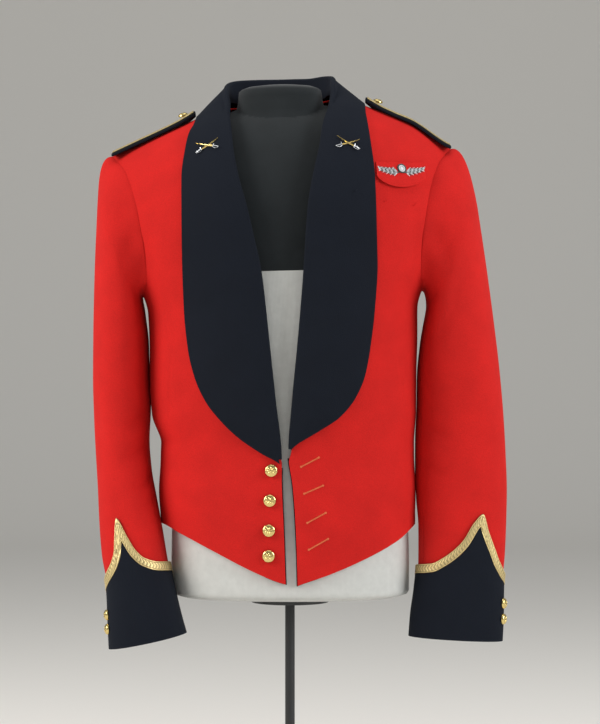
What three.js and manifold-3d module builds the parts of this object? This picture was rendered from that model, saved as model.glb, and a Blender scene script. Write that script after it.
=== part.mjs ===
// A man's mess jacket standing open on a limbless dress form with a pole and a round base.
// Millimetres, +Z up. The jacket faces -Y, the wearer's left side is +X, and the floor is z = 0.
// The cloth is thin walls: every panel is cut from one figure, and the sleeves are lofted rings.
import * as THREE from 'three';
import Module from 'manifold-3d';

const wasm = await Module();
wasm.setup();

// Cloth, seams and layers
const CLOTH = 2.0;          // red wool with its canvas and lining
const FACING = 1.6;         // navy collar, lapels and cuffs
const SEAM = 0.2;           // each side of a seam stands back this far
const CLEAR = 0.8;          // between one layer and the next

// The figure that the jacket was cut for
const RIDGE_Y = 8;          // the shoulder line, from front to back
const SHOULDER_X = 228;     // shoulder point, from the middle
const SHOULDER_Z = 903;
const SHOULDER_FALL = 0.425;
const NECK_SOFT = 30;       // rounds the ridge off at the neck
const SHOULDER_BOW = { right: 0, left: 13 };   // how far the ridge bows up between neck and point
const DOME = 170;           // height over which the shoulder rounds over
const BOXY = 2.4;           // squareness of the level sections
const LEAN = THREE.MathUtils.degToRad(1.3);   // the jacket hangs a little off square
const LEAN_FOOT = 400;
const LEAN_FADE = [300, 450];

// Level sections of the jacket: half widths at the wearer's right and left, and depths from the ridge
const FIGURE = [
  { z: 320, right: 168, left: 166, front: 112, back: 98 },
  { z: 400, right: 172, left: 168, front: 114, back: 102 },
  { z: 450, right: 175, left: 170, front: 113, back: 101 },
  { z: 490, right: 172, left: 169, front: 111, back: 99 },
  { z: 517, right: 171, left: 170, front: 112, back: 101 },
  { z: 555, right: 182, left: 173.5, front: 116, back: 107 },
  { z: 600, right: 184, left: 174.5, front: 121, back: 112 },
  { z: 650, right: 183, left: 177, front: 125, back: 116 },
  { z: 690, right: 184, left: 178, front: 127, back: 119 },
  { z: 745, right: 203, left: 200, front: 129, back: 122 },
  { z: 800, right: 221, left: 219, front: 129, back: 122 },
  { z: 850, right: 231, left: 230, front: 127, back: 121 },
  { z: 1000, right: 240, left: 240, front: 122, back: 118 },
];
// Where the armhole seam runs on the front and on the back
const ARMHOLE_TURN_Z = 730;    // below this the seam turns under the arm
const ARMHOLE_FOOT_Z = 712;
const ARMHOLE = [
  { z: 730, front: 181, back: 188 },
  { z: 754, front: 182, back: 189 },
  { z: 780, front: 184, back: 191 },
  { z: 800, front: 187, back: 194 },
  { z: 829, front: 192, back: 199 },
  { z: 861, front: 201, back: 207 },
  { z: 881, front: 209, back: 213 },
  { z: 903, front: 228, back: 228 },
];
const SIDE_SEAM = Math.PI / 2 + 0.14;   // round from the middle of the front
const NECK_X = 80;                      // shoulder seam starts here
const BACK_NECK_Z = 965;
// The front hem rises from its point at the opening to the side
const HEM = [
  { x: 0, right: 330.5, left: 325 },
  { x: 14, right: 334, left: 331 },
  { x: 50, right: 349, left: 343 },
  { x: 104, right: 377, left: 365 },
  { x: 144, right: 398, left: 385 },
  { x: 168, right: 409, left: 402 },
  { x: 185, right: 410, left: 408 },
];
const BACK_HEM_Z = 388;
// Front edge: the button stand below, the roll line of the lapel above
const OPENING = [
  { z: 320, right: 4.6, left: 10.6 },
  { z: 345, right: 6, left: 9.8 },
  { z: 428, right: 8.2, left: 7.2 },
  { z: 461, right: 8.8, left: 5.2 },
  { z: 499, right: 8, left: 0.6 },
  { z: 572, right: 14, left: 7 },
  { z: 644, right: 20, left: 15.5 },
  { z: 739, right: 28.5, left: 25.5 },
  { z: 781, right: 36.5, left: 29 },
  { z: 826, right: 46, left: 33.5 },
  { z: 863, right: 55.4, left: 40.5 },
  { z: 903, right: 62.4, left: 50 },
  { z: 936, right: 65.6, left: 56 },
  { z: 968, right: 70, left: 68 },
];
const UNDER_ROLL = 4.0;       // the front stops this far inside the roll
const NECK_BACKING = 9;       // and further inside it where the collar rises to the neck

const SIDES = {
  right: { sign: -1 },
  left: { sign: 1 },
};

const lerp = (a, b, t) => a + (b - a) * t;
const clamp = (v, lo, hi) => Math.min(hi, Math.max(lo, v));
const smooth = (a, b, v) => {
  const t = clamp((v - a) / (b - a), 0, 1);
  return t * t * (3 - 2 * t);
};
const V = (x, y, z) => new THREE.Vector3(x, y, z);
const mix = (p, q, t) => p.clone().lerp(q, t);

// A smooth curve, with no overshoot, through one named column of a table
function column(table, key, name) {
  const x = table.map((row) => row[key]);
  const y = table.map((row) => row[name]);
  const slope = x.slice(1).map((v, i) => (y[i + 1] - y[i]) / (v - x[i]));
  const tangent = x.map((_, i) => {
    if (i === 0) return slope[0];
    if (i === x.length - 1) return slope[i - 1];
    const [a, b] = [slope[i - 1], slope[i]];
    return a * b <= 0 ? 0 : (2 * a * b) / (a + b);
  });
  return (at) => {
    const v = clamp(at, x[0], x[x.length - 1]);
    let i = 0;
    while (i < x.length - 2 && v > x[i + 1]) i += 1;
    const h = x[i + 1] - x[i];
    const t = (v - x[i]) / h;
    return (2 * t ** 3 - 3 * t ** 2 + 1) * y[i] + (t ** 3 - 2 * t ** 2 + t) * h * tangent[i]
      + (3 * t ** 2 - 2 * t ** 3) * y[i + 1] + (t ** 3 - t ** 2) * h * tangent[i + 1];
  };
}

const halfWidth = { right: column(FIGURE, 'z', 'right'), left: column(FIGURE, 'z', 'left') };
const depth = { front: column(FIGURE, 'z', 'front'), back: column(FIGURE, 'z', 'back') };
const armholeX = { front: column(ARMHOLE, 'z', 'front'), back: column(ARMHOLE, 'z', 'back') };
const hemAt = { right: column(HEM, 'x', 'right'), left: column(HEM, 'x', 'left') };
const openingX = { right: column(OPENING, 'z', 'right'), left: column(OPENING, 'z', 'left') };

const bow = (side, x) => SHOULDER_BOW[side] * smooth(35, 105, Math.abs(x))
  * (1 - smooth(170, SHOULDER_X, Math.abs(x)));
const ridgeZ = (side, x) => SHOULDER_Z
  + SHOULDER_FALL * (SHOULDER_X - Math.hypot(x, NECK_SOFT)) + bow(side, x);
const fullness = (share) => (1 - clamp(Math.abs(share), 0, 1) ** BOXY) ** (1 / BOXY);
const overShoulder = (side, x, z) => {
  const up = clamp((z - ridgeZ(side, x) + DOME) / DOME, 0, 1);
  return Math.sqrt(1 - up * up);
};

// Point of the figure at distance x from the middle and height z; y falls out of the section
function figure(side, face, x, z) {
  const share = x / halfWidth[side](z);
  const out = depth[face](z) * fullness(share) * overShoulder(side, x, z);
  return V(SIDES[side].sign * x, RIDGE_Y + (face === 'front' ? -out : out), z);
}

// How far outside the figure a point is, 1 on it
function level(side, p) {
  const x = Math.abs(p.x);
  const width = halfWidth[side](p.z);
  const reach = depth[p.y < RIDGE_Y ? 'front' : 'back'](p.z);
  const away = Math.abs(p.y - RIDGE_Y) / reach;
  const up = (p.z - ridgeZ(side, x) + DOME) / DOME;
  if (up <= 0) return ((x / width) ** BOXY + away ** BOXY) ** (1 / BOXY);
  return Math.hypot(away / Math.max(fullness(x / width), 0.05), up);
}

const STEP = 0.05;
function normal(side, p) {
  const slope = (dx, dy, dz) => level(side, p.clone().add(V(dx, dy, dz)))
    - level(side, p.clone().sub(V(dx, dy, dz)));
  return V(slope(STEP, 0, 0), slope(0, STEP, 0), slope(0, 0, STEP)).normalize();
}

// The nearest figure point along the section at the same x, raised by lift
function onFigure(side, p, lift) {
  const x = Math.abs(p.x);
  const face = p.y < RIDGE_Y ? 'front' : 'back';
  const up = (p.z - ridgeZ(side, x) + DOME) / DOME;
  let base;
  if (up <= 0) {
    base = figure(side, face, x, p.z);
    base.x = p.x;
  } else {
    const scale = level(side, p);
    base = V(p.x, RIDGE_Y + (p.y - RIDGE_Y) / scale, ridgeZ(side, x) - DOME + (DOME * up) / scale);
  }
  const n = normal(side, base);
  return { p: base.addScaledVector(n, lift), n };
}

// Turns a point about the middle of the hem, fading in above it
function lean(p) {
  const a = LEAN * smooth(...LEAN_FADE, p.z);
  const [dx, dz] = [p.x, p.z - LEAN_FOOT];
  return V(dx * Math.cos(a) - dz * Math.sin(a), p.y, LEAN_FOOT + dx * Math.sin(a) + dz * Math.cos(a));
}

// Angle round a level section, from the middle of the front
const angleOf = (share) => Math.atan2(clamp(share, -1, 1), fullness(share));
function around(side, angle, z) {
  const s = Math.sin(angle);
  const c = Math.cos(angle);
  const r = (Math.abs(s) ** BOXY + Math.abs(c) ** BOXY) ** (-1 / BOXY);
  const x = halfWidth[side](z) * r * s;
  const face = c >= 0 ? 'front' : 'back';
  const out = depth[face](z) * r * Math.abs(c) * overShoulder(side, x, z);
  return V(SIDES[side].sign * x, RIDGE_Y + (face === 'front' ? -out : out), z);
}

// A closed cloth wall over a grid of { p, n } rows; a null leaves that corner of the grid out.
// wrap joins the last column to the first. flip turns the faces round for a mirrored grid.
function wall(grid, thickness, { wrap = false, flip = false } = {}) {
  const outer = new Map();
  const position = [];
  const index = [];
  const key = (i, j) => i * 1000 + j;
  grid.forEach((row, i) => row.forEach((at, j) => {
    if (!at) return;
    outer.set(key(i, j), position.length / 3);
    position.push(at.p.x, at.p.y, at.p.z);
  }));
  const shift = position.length / 3;
  grid.forEach((row) => row.forEach((at) => {
    if (!at) return;
    const q = at.p.clone().addScaledVector(at.n, -(at.thick ?? thickness));
    position.push(q.x, q.y, q.z);
  }));
  const edges = new Map();
  const face = (a, b, c) => {
    const [x, y, z] = flip ? [a, c, b] : [a, b, c];
    index.push(x, y, z, x + shift, z + shift, y + shift);
    [[x, y], [y, z], [z, x]].forEach(([s, e]) => edges.set(`${s},${e}`, [s, e]));
  };
  for (let i = 0; i < grid.length - 1; i += 1) {
    const columns = grid[i].length - (wrap ? 0 : 1);
    for (let j = 0; j < columns; j += 1) {
      const k = (j + 1) % grid[i].length;
      const corners = [key(i, j), key(i, k), key(i + 1, k), key(i + 1, j)].map((c) => outer.get(c));
      if (corners.includes(undefined)) continue;
      const [a, b, c, d] = corners;
      face(a, b, c);
      face(a, c, d);
    }
  }
  edges.forEach(([s, e]) => {
    if (edges.has(`${e},${s}`)) return;
    index.push(s, e + shift, e, s, s + shift, e + shift);
  });
  const used = [...new Set(index)].sort((a, b) => a - b);
  const renumber = new Map(used.map((v, i) => [v, i]));
  const geometry = new THREE.BufferGeometry();
  const kept = used.flatMap((v) => position.slice(v * 3, v * 3 + 3));
  geometry.setAttribute('position', new THREE.Float32BufferAttribute(kept, 3));
  geometry.setIndex(index.map((v) => renumber.get(v)));
  return geometry;
}

const garment = new THREE.Group();
function add(name, geometry, material) {
  const mesh = new THREE.Mesh(geometry, material);
  mesh.name = name;
  garment.add(mesh);
  return mesh;
}

const cloth = (color) => new THREE.MeshStandardMaterial({ color, roughness: 0.9, metalness: 0 });
const SCARLET = cloth(0xc81d1a);
const NAVY = cloth(0x161b28);
const LINEN = cloth(0xc9cbc8);
const BLACK = cloth(0x202426);
const GOLD_LACE = new THREE.MeshStandardMaterial({ color: 0xcfae62, roughness: 0.45, metalness: 0.6 });
const GILT = new THREE.MeshStandardMaterial({ color: 0xd8b25a, roughness: 0.2, metalness: 1 });
const SILVER = new THREE.MeshStandardMaterial({ color: 0xd9dadb, roughness: 0.4, metalness: 0.3 });
const STEEL = new THREE.MeshStandardMaterial({ color: 0x2a2b2c, roughness: 0.4, metalness: 0.8 });

// Body panels: a lower grid from the hem to the armhole, and an upper one over the shoulder
const LOWER_ROWS = 11;
const UPPER_ROWS = 10;
const FRONT_COLUMNS = { inner: 9, side: 4 };
const BACK_COLUMNS = { inner: 6, side: 4 };

const turnAngle = (side, face) => {
  const a = angleOf(armholeX[face](ARMHOLE_TURN_Z) / halfWidth[side](ARMHOLE_TURN_Z));
  return face === 'front' ? a : Math.PI - a;
};
const underArmZ = (side, angle) => {
  const turn = turnAngle(side, angle < Math.PI / 2 ? 'front' : 'back');
  const away = (angle - Math.PI / 2) / (turn - Math.PI / 2);
  return lerp(ARMHOLE_FOOT_Z, ARMHOLE_TURN_Z, Math.min(1, away * away));
};

function hemZ(side, angle) {
  const x = Math.abs(around(side, Math.min(angle, Math.PI / 2), BACK_HEM_Z).x);
  const front = hemAt[side](x);
  if (angle <= Math.PI / 2) return front;
  return lerp(front, BACK_HEM_Z, smooth(Math.PI / 2, Math.PI, angle));
}

// Inner edge of a panel, as an angle: the opening on the front, the middle seam on the back
function innerAngle(side, face, z) {
  if (face === 'back') return Math.PI - SEAM / halfWidth[side](z);
  const under = UNDER_ROLL * smooth(490, 506, z) + NECK_BACKING * smooth(895, 940, z);
  return angleOf((openingX[side](z) + under) / halfWidth[side](z));
}

function outerAngle(side, face, z) {
  const a = angleOf(armholeX[face](z) / halfWidth[side](z));
  return face === 'front' ? a : Math.PI - a;
}

// Height at which the section over the shoulder reaches a turn of the dome, 0 at the ridge
function domeHeight(side, x, turn) {
  return ridgeZ(side, x) - DOME * (1 - Math.cos(turn));
}

function upperPoint(side, face, share, turnShare) {
  let z = lerp(ARMHOLE_TURN_Z, SHOULDER_Z, 1 - turnShare);
  let x = 0;
  for (let pass = 0; pass < 14; pass += 1) {
    const angle = lerp(innerAngle(side, face, z), outerAngle(side, face, z), share);
    x = Math.abs(around(side, angle, z).x);
    // the back stops at the neckline, the front at the shoulder seam
    const neckTurn = face === 'back' && x < NECK_X
      ? Math.acos(clamp(1 - (ridgeZ(side, x) - backNeckZ(side, x)) / DOME, -1, 1)) : 0;
    const footTurn = Math.acos(clamp(1 - (ridgeZ(side, x) - ARMHOLE_TURN_Z) / DOME, -1, 1));
    const foot = ridgeZ(side, x) - DOME > ARMHOLE_TURN_Z
      ? Math.PI / 2 + (ridgeZ(side, x) - DOME - ARMHOLE_TURN_Z) / DOME : footTurn;
    const turn = lerp(neckTurn, foot, turnShare);
    z = turn > Math.PI / 2 ? ridgeZ(side, x) - DOME - DOME * (turn - Math.PI / 2) : domeHeight(side, x, turn);
  }
  return figure(side, face, x, z);
}

const backNeckZ = (side, x) => lerp(BACK_NECK_Z, ridgeZ(side, NECK_X), smooth(0, NECK_X, x) ** 2);

function panel(side, face) {
  const { inner, side: sideColumns } = face === 'front' ? FRONT_COLUMNS : BACK_COLUMNS;
  const turn = turnAngle(side, face);
  const seam = face === 'front' ? SIDE_SEAM - SEAM / 170 : SIDE_SEAM + SEAM / 170;
  const grid = [];
  for (let i = 0; i <= LOWER_ROWS; i += 1) {
    const row = [];
    for (let j = 0; j <= inner + sideColumns; j += 1) {
      let z = 500;
      let angle = turn;
      for (let pass = 0; pass < 6; pass += 1) {
        angle = j <= inner
          ? lerp(innerAngle(side, face, z), turn, j / inner)
          : lerp(turn, seam, (j - inner) / sideColumns);
        const top = j <= inner ? ARMHOLE_TURN_Z : underArmZ(side, angle);
        z = lerp(hemZ(side, angle), top, i / LOWER_ROWS);
      }
      const p = around(side, angle, z);
      row.push({ p, n: normal(side, p) });
    }
    grid.push(row);
  }
  for (let i = 1; i <= UPPER_ROWS; i += 1) {
    const row = [];
    for (let j = 0; j <= inner + sideColumns; j += 1) {
      if (j > inner) {
        row.push(null);
        continue;
      }
      const p = upperPoint(side, face, j / inner, 1 - i / UPPER_ROWS);
      const n = normal(side, p);
      if (i === UPPER_ROWS && Math.abs(p.y - RIDGE_Y) < 1) p.y = RIDGE_Y + (face === 'front' ? -SEAM : SEAM);
      row.push({ p, n });
    }
    grid.push(row);
  }
  return grid;
}

const leaned = (grid) => grid.map((row) => row.map((at) => at && { ...at, p: lean(at.p) }));

for (const side of Object.keys(SIDES)) {
  for (const face of ['front', 'back']) {
    const grid = leaned(panel(side, face));
    const flip = (side === 'right') === (face === 'front');
    add(`${face}_${side}`, wall(grid, CLOTH, { flip }), SCARLET);
  }
}

// Sleeves: rings between an outer and an inner line. Distances are from the middle of the jacket.
const SLEEVE = {
  right: [
    { outX: 258.5, outZ: 825, inX: 195, inZ: 688, deep: 80, y: 6 },
    { outX: 262, outZ: 745, inX: 190, inZ: 645, deep: 79, y: 7 },
    { outX: 264, outZ: 665, inX: 189, inZ: 602, deep: 76, y: 8 },
    { outX: 264.6, outZ: 600, inX: 187.3, inZ: 560, deep: 71, y: 8 },
    { outX: 263, outZ: 545, inX: 189, inZ: 518, deep: 67, y: 6 },
    { outX: 260.5, outZ: 500, inX: 186, inZ: 478, deep: 65, y: 2 },
    { outX: 257, outZ: 455, inX: 178.5, inZ: 440, deep: 62, y: -10 },
    { outX: 254, outZ: 410, inX: 170.5, inZ: 402, deep: 57, y: -24 },
    { outX: 249.3, outZ: 365, inX: 162.5, inZ: 360, deep: 52, y: -40 },
    { outX: 240, outZ: 320, inX: 153.5, inZ: 320, deep: 46, y: -54 },
    { outX: 237.4, outZ: 280, inX: 145, inZ: 287, deep: 42, y: -63 },
    { outX: 235.6, outZ: 244, inX: 138.5, inZ: 264.5, deep: 40, y: -68 },
  ],
  left: [
    { outX: 252.7, outZ: 823, inX: 182.5, inZ: 688, deep: 76, y: 6 },
    { outX: 263, outZ: 755, inX: 175, inZ: 645, deep: 74, y: 7 },
    { outX: 274, outZ: 675, inX: 170.8, inZ: 600, deep: 69, y: 8 },
    { outX: 282, outZ: 608, inX: 170.3, inZ: 560, deep: 61, y: 8 },
    { outX: 287, outZ: 550, inX: 168.4, inZ: 520, deep: 54, y: 6 },
    { outX: 289.6, outZ: 500, inX: 168, inZ: 480, deep: 51, y: 2 },
    { outX: 290.8, outZ: 455, inX: 169, inZ: 441, deep: 48, y: -5 },
    { outX: 289.4, outZ: 410, inX: 171.8, inZ: 401, deep: 44, y: -14 },
    { outX: 286.8, outZ: 365, inX: 171.4, inZ: 358, deep: 40, y: -23 },
    { outX: 282.4, outZ: 322, inX: 167.5, inZ: 320, deep: 35, y: -31 },
    { outX: 281.4, outZ: 283, inX: 162.5, inZ: 286, deep: 31, y: -36 },
    { outX: 280, outZ: 251, inX: 160.4, inZ: 257.5, deep: 29, y: -38 },
  ],
};
const HEAD_PUSH = { under: 12, top: 58 };     // how far the sleeve head stands out at the seam
const HEAD_GAP = 0.9;                        // from the armhole seam to the sleeve
const HEAD_LIFT = { right: -2, left: 14 };
const SLEEVE_BOXY = 2.15;
const HEAD_ROWS = 5;
const SLEEVE_ROWS = 12;
const TOP_SLEEVE = { from: -62, to: 152, columns: 13 };    // degrees: 0 outside, 90 in front
const UNDER_SLEEVE = { from: 152, to: 298, columns: 8 };
const RINGS = SLEEVE.right.length;

const rad = THREE.MathUtils.degToRad;
const turnOf = (at) => Math.atan2(Math.sin(at), Math.cos(at));

// The armhole as a closed loop, from the shoulder down the front and up the back
function armhole(side) {
  const loop = [];
  const edge = (face, z) => {
    if (z > SHOULDER_Z - 0.01) return V(SIDES[side].sign * SHOULDER_X, RIDGE_Y, SHOULDER_Z);
    return figure(side, face, armholeX[face](z), z);
  };
  const down = (i) => lerp(SHOULDER_Z, ARMHOLE_TURN_Z, (i / 24) ** 1.5);
  for (let i = 0; i <= 24; i += 1) loop.push(edge('front', down(i)));
  const [a, b] = [turnAngle(side, 'front'), turnAngle(side, 'back')];
  for (let i = 1; i < 12; i += 1) {
    const angle = lerp(a, b, i / 12);
    loop.push(around(side, angle, underArmZ(side, angle)));
  }
  for (let i = 24; i > 0; i -= 1) loop.push(edge('back', down(i)));
  return loop;
}

const MID_Z = (SHOULDER_Z + ARMHOLE_FOOT_Z) / 2;
function armholeRing(side) {
  const loop = armhole(side).map((p) => ({
    p: lean(p),
    turn: Math.atan2((RIDGE_Y - p.y) / 76, (p.z - MID_Z) / 96),
  }));
  return (at) => {
    const turn = turnOf(at);
    for (let i = 0; i < loop.length; i += 1) {
      const [a, b] = [loop[i], loop[(i + 1) % loop.length]];
      const span = turnOf(b.turn - a.turn);
      const t = turnOf(turn - a.turn) / span;
      if (t >= 0 && t <= 1 && Math.abs(turnOf(turn - a.turn)) < 1) {
        return mix(a.p, b.p, t).add(V(SIDES[side].sign * HEAD_GAP, 0, 0));
      }
    }
    return loop[0].p.clone();
  };
}

const sleeveColumns = {};
for (const side of Object.keys(SIDES)) {
  const rows = SLEEVE[side].map((row, i) => ({ ...row, ring: i + 1 }));
  sleeveColumns[side] = Object.fromEntries(
    Object.keys(SLEEVE[side][0]).map((name) => [name, column(rows, 'ring', name)]),
  );
  sleeveColumns[side].head = armholeRing(side);
}

// A point of the sleeve: ring 0 is the armhole, ring 1 on follow the table, turn goes round
function sleevePoint(side, ring, turn) {
  const at = sleeveColumns[side];
  const s = SIDES[side].sign;
  const section = (r) => {
    const c = Math.cos(turn);
    const f = Math.sin(turn);
    const k = (Math.abs(c) ** SLEEVE_BOXY + Math.abs(f) ** SLEEVE_BOXY) ** (-1 / SLEEVE_BOXY);
    const share = (1 + c * k) / 2;
    return V(
      s * lerp(at.inX(r), at.outX(r), share),
      at.y(r) - f * k * at.deep(r),
      lerp(at.inZ(r), at.outZ(r), share),
    );
  };
  if (ring >= 1) return section(ring);
  const start = at.head(turn);
  const end = section(1);
  const top = (1 + Math.cos(turn)) / 2;
  const leave = V(s * lerp(HEAD_PUSH.under, HEAD_PUSH.top, top), 0, HEAD_LIFT[side] * top);
  const arrive = section(1.2).sub(end).normalize().multiplyScalar(start.distanceTo(end) * 1.1);
  const t = ring;
  return start.multiplyScalar(2 * t ** 3 - 3 * t ** 2 + 1)
    .addScaledVector(leave, t ** 3 - 2 * t ** 2 + t)
    .addScaledVector(end, 3 * t ** 2 - 2 * t ** 3)
    .addScaledVector(arrive, t ** 3 - t ** 2);
}

function onSleeve(side, ring, turn, lift = 0) {
  const e = 0.02;
  const hi = Math.min(ring + e, RINGS);
  const lo = Math.max(ring - e, 0);
  const along = sleevePoint(side, hi, turn).sub(sleevePoint(side, lo, turn));
  const round = sleevePoint(side, ring, turn + e).sub(sleevePoint(side, ring, turn - e));
  const n = round.cross(along).normalize().multiplyScalar(SIDES[side].sign);
  return { p: sleevePoint(side, ring, turn).addScaledVector(n, lift), n };
}

// The ring at which the line down the sleeve at this turn comes to height z
function ringAt(side, turn, z) {
  let [lo, hi] = [1, RINGS];
  for (let pass = 0; pass < 30; pass += 1) {
    const mid = (lo + hi) / 2;
    if (sleevePoint(side, mid, turn).z > z) lo = mid;
    else hi = mid;
  }
  return (lo + hi) / 2;
}

for (const side of Object.keys(SIDES)) {
  for (const [name, part] of Object.entries({ top: TOP_SLEEVE, under: UNDER_SLEEVE })) {
    const grid = [];
    for (let i = 0; i <= HEAD_ROWS + SLEEVE_ROWS; i += 1) {
      const ring = i <= HEAD_ROWS ? i / HEAD_ROWS
        : lerp(1, RINGS - 0.04, (i - HEAD_ROWS) / SLEEVE_ROWS);
      const row = [];
      for (let j = 0; j <= part.columns; j += 1) {
        let turn = lerp(rad(part.from), rad(part.to), j / part.columns);
        if (j === 0) turn += 0.3 / 62;
        if (j === part.columns) turn -= 0.3 / 62;
        row.push(onSleeve(side, ring, turn));
      }
      grid.push(row);
    }
    add(`sleeve_${name}_${side}`, wall(grid, CLOTH, { flip: side === 'right' }), SCARLET);
  }
}

// Upper line of the gold lace on each cuff, by degrees round the sleeve
const CUFF_LINE = {
  right: [
    { turn: -100, z: 325 }, { turn: -50, z: 324 }, { turn: -10, z: 328 }, { turn: 14, z: 335 },
    { turn: 32, z: 344 }, { turn: 49, z: 356 }, { turn: 60, z: 371 }, { turn: 71, z: 416 },
    { turn: 87, z: 392 }, { turn: 97, z: 376 }, { turn: 110, z: 365 }, { turn: 128, z: 359.7 },
    { turn: 150, z: 358 }, { turn: 180, z: 356 }, { turn: 220, z: 342 }, { turn: 260, z: 325 },
  ],
  left: [
    { turn: -100, z: 332 }, { turn: -50, z: 331 }, { turn: -10, z: 335 }, { turn: 18, z: 343 },
    { turn: 38, z: 359 }, { turn: 48, z: 376 }, { turn: 58, z: 397 }, { turn: 66, z: 420 },
    { turn: 77, z: 410 }, { turn: 91, z: 386 }, { turn: 103, z: 373 }, { turn: 116, z: 363 },
    { turn: 132, z: 355 }, { turn: 180, z: 350.6 }, { turn: 220, z: 341 }, { turn: 260, z: 332 },
  ],
};
const CUFF_PEAK = { right: 71, left: 66 };
const CUFF_COLUMNS = 30;
const CUFF_ROWS = 4;
const LACE_WIDTH = { down: 12.4, round: 9.4 };
const CUFF_EASE = 0.55;       // the cuff stands this much further off, as its facets cut inside the curve
const LACE_PROUD = CLEAR + CUFF_EASE + FACING + 0.7;

const cuffLine = { right: column(CUFF_LINE.right, 'turn', 'z'), left: column(CUFF_LINE.left, 'turn', 'z') };
const laceTop = (side, degrees) => cuffLine[side](degrees > 260 ? degrees - 360 : degrees);

// The lace's lower line follows the upper one at its width, so that it comes to a mitre at the peak
function laceFoot(side, degrees) {
  const ring = ringAt(side, rad(degrees), laceTop(side, degrees));
  const [a, b] = [-3, 3].map((d) => onSleeve(side, ring, rad(degrees + d)).p);
  const perDegree = a.distanceTo(b) / 6;
  const drops = [];
  for (let i = -12; i <= 12; i += 1) {
    const over = laceTop(side, (degrees + (LACE_WIDTH.round * i) / 12 / perDegree + 360) % 360);
    drops.push(over - LACE_WIDTH.down * Math.sqrt(1 - (i / 12) ** 2));
  }
  return Math.min(...drops);
}

// Buttons: a dome with a rim, on the local +Z
const FRONT_BUTTON = { radius: 8.6, height: 5.2, rim: 1.6 };
const CUFF_BUTTON = { radius: 7.2, height: 4.6, rim: 1.4 };
const BOARD_BUTTON = { radius: 7.0, height: 4.6, rim: 1.4 };
const BUTTON_SIDES = 14;
function button({ radius, height, rim }) {
  const profile = [[0, 0], [radius * 0.86, 0], [radius, rim * 0.5], [radius * 0.96, rim]];
  for (let i = 1; i <= 2; i += 1) {
    const a = (Math.PI / 2) * (i / 3);
    profile.push([radius * 0.9 * Math.cos(a), rim + (height - rim) * Math.sin(a)]);
  }
  profile.push([0, height]);
  const lathe = new THREE.LatheGeometry(profile.map(([r, z]) => new THREE.Vector2(r, z)), BUTTON_SIDES);
  return lathe.rotateX(Math.PI / 2);
}

// Stands a geometry with its local +Z along n, and its local +Y as near up as it goes
function stand(geometry, p, n, spin = 0) {
  const across = V(0, 0, 1).cross(n).normalize();
  const up = n.clone().cross(across);
  const frame = new THREE.Matrix4().makeBasis(across, up, n).setPosition(p);
  return geometry.clone().rotateZ(spin).applyMatrix4(frame);
}

const CUFF_BUTTONS = { turn: 16, right: [289, 270.5], left: [301, 280.5] };
for (const side of Object.keys(SIDES)) {
  const cuff = [];
  const lace = [];
  for (let i = 0; i <= CUFF_ROWS; i += 1) cuff.push([]);
  for (let i = 0; i <= 1; i += 1) lace.push([]);
  for (let j = 0; j < CUFF_COLUMNS; j += 1) {
    const degrees = (CUFF_PEAK[side] + (360 * j) / CUFF_COLUMNS) % 360;
    const turn = rad(degrees);
    const top = ringAt(side, turn, laceTop(side, degrees));
    const foot = ringAt(side, turn, laceFoot(side, degrees));
    lace[0].push(onSleeve(side, top, turn, LACE_PROUD));
    lace[1].push(onSleeve(side, foot - 0.012, turn, LACE_PROUD));
    for (let i = 0; i <= CUFF_ROWS; i += 1) {
      cuff[i].push(onSleeve(side, lerp(foot, RINGS, i / CUFF_ROWS), turn, CLEAR + CUFF_EASE + FACING));
    }
  }
  const flip = side === 'right';
  add(`cuff_${side}`, wall(cuff, FACING, { wrap: true, flip }), NAVY);
  add(`cuff_lace_${side}`, wall(lace, LACE_PROUD - CLEAR - CUFF_EASE, { wrap: true, flip }), GOLD_LACE);
  CUFF_BUTTONS[side].forEach((z, i) => {
    const turn = rad(CUFF_BUTTONS.turn);
    const at = onSleeve(side, ringAt(side, turn, z), turn, CLEAR + CUFF_EASE + FACING + 0.35);
    add(`cuff_button_${side}_${i + 1}`, stand(button(CUFF_BUTTON), at.p, at.n), GILT);
  });
}

// Outer edge of the shawl collar on the front
const LAPEL = {
  right: [
    { z: 487, x: 8.6 }, { z: 493, x: 16.4 }, { z: 500, x: 29.1 }, { z: 509.2, x: 43.2 },
    { z: 523, x: 62 }, { z: 546, x: 85 },
    { z: 571, x: 104 }, { z: 603, x: 118 }, { z: 640, x: 126 }, { z: 692, x: 130 },
    { z: 757, x: 131 }, { z: 809.5, x: 130.5 }, { z: 866, x: 130 }, { z: 905, x: 125 },
    { z: 925, x: 120.6 }, { z: 939.5, x: 113 },
  ],
  left: [
    { z: 503, x: 1.6 }, { z: 507, x: 4.4 }, { z: 513.4, x: 11.1 }, { z: 521.2, x: 24.1 },
    { z: 531.9, x: 42.7 }, { z: 549, x: 69 },
    { z: 573, x: 89 }, { z: 602, x: 102 }, { z: 641, x: 110 }, { z: 693, x: 117 },
    { z: 751.5, x: 121.5 }, { z: 804, x: 121.5 }, { z: 860, x: 121 }, { z: 906, x: 117 },
    { z: 940, x: 113 }, { z: 958, x: 110 },
  ],
};
const LAPEL_LIFT = 3.1;       // top of the lapel over the chest
const ROLL = 4.05;            // outer radius of the fold along the roll line
const ROLL_SINK = 0.95;       // its middle lies this far under the front
const LAPEL_BELLY = 3.5;      // the lapel stands off the chest between its edges
const LAPEL_FOOT = { right: { roll: 495, edge: 488.6 }, left: { roll: 508, edge: 504.4 } };
const LAPEL_TOP = { right: { roll: 948, edge: 936 }, left: { roll: 952, edge: 946 } };
const LAPEL_STEPS = [
  0, 0.014, 0.035, 0.075, 0.13, 0.2, 0.28, 0.36, 0.44, 0.52,
  0.59, 0.66, 0.72, 0.78, 0.83, 0.88, 0.925, 0.965, 1,
];
const COLLAR_COLUMNS = 6;
const ROLL_STEPS = 4;
const TAIL = 15;
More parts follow.
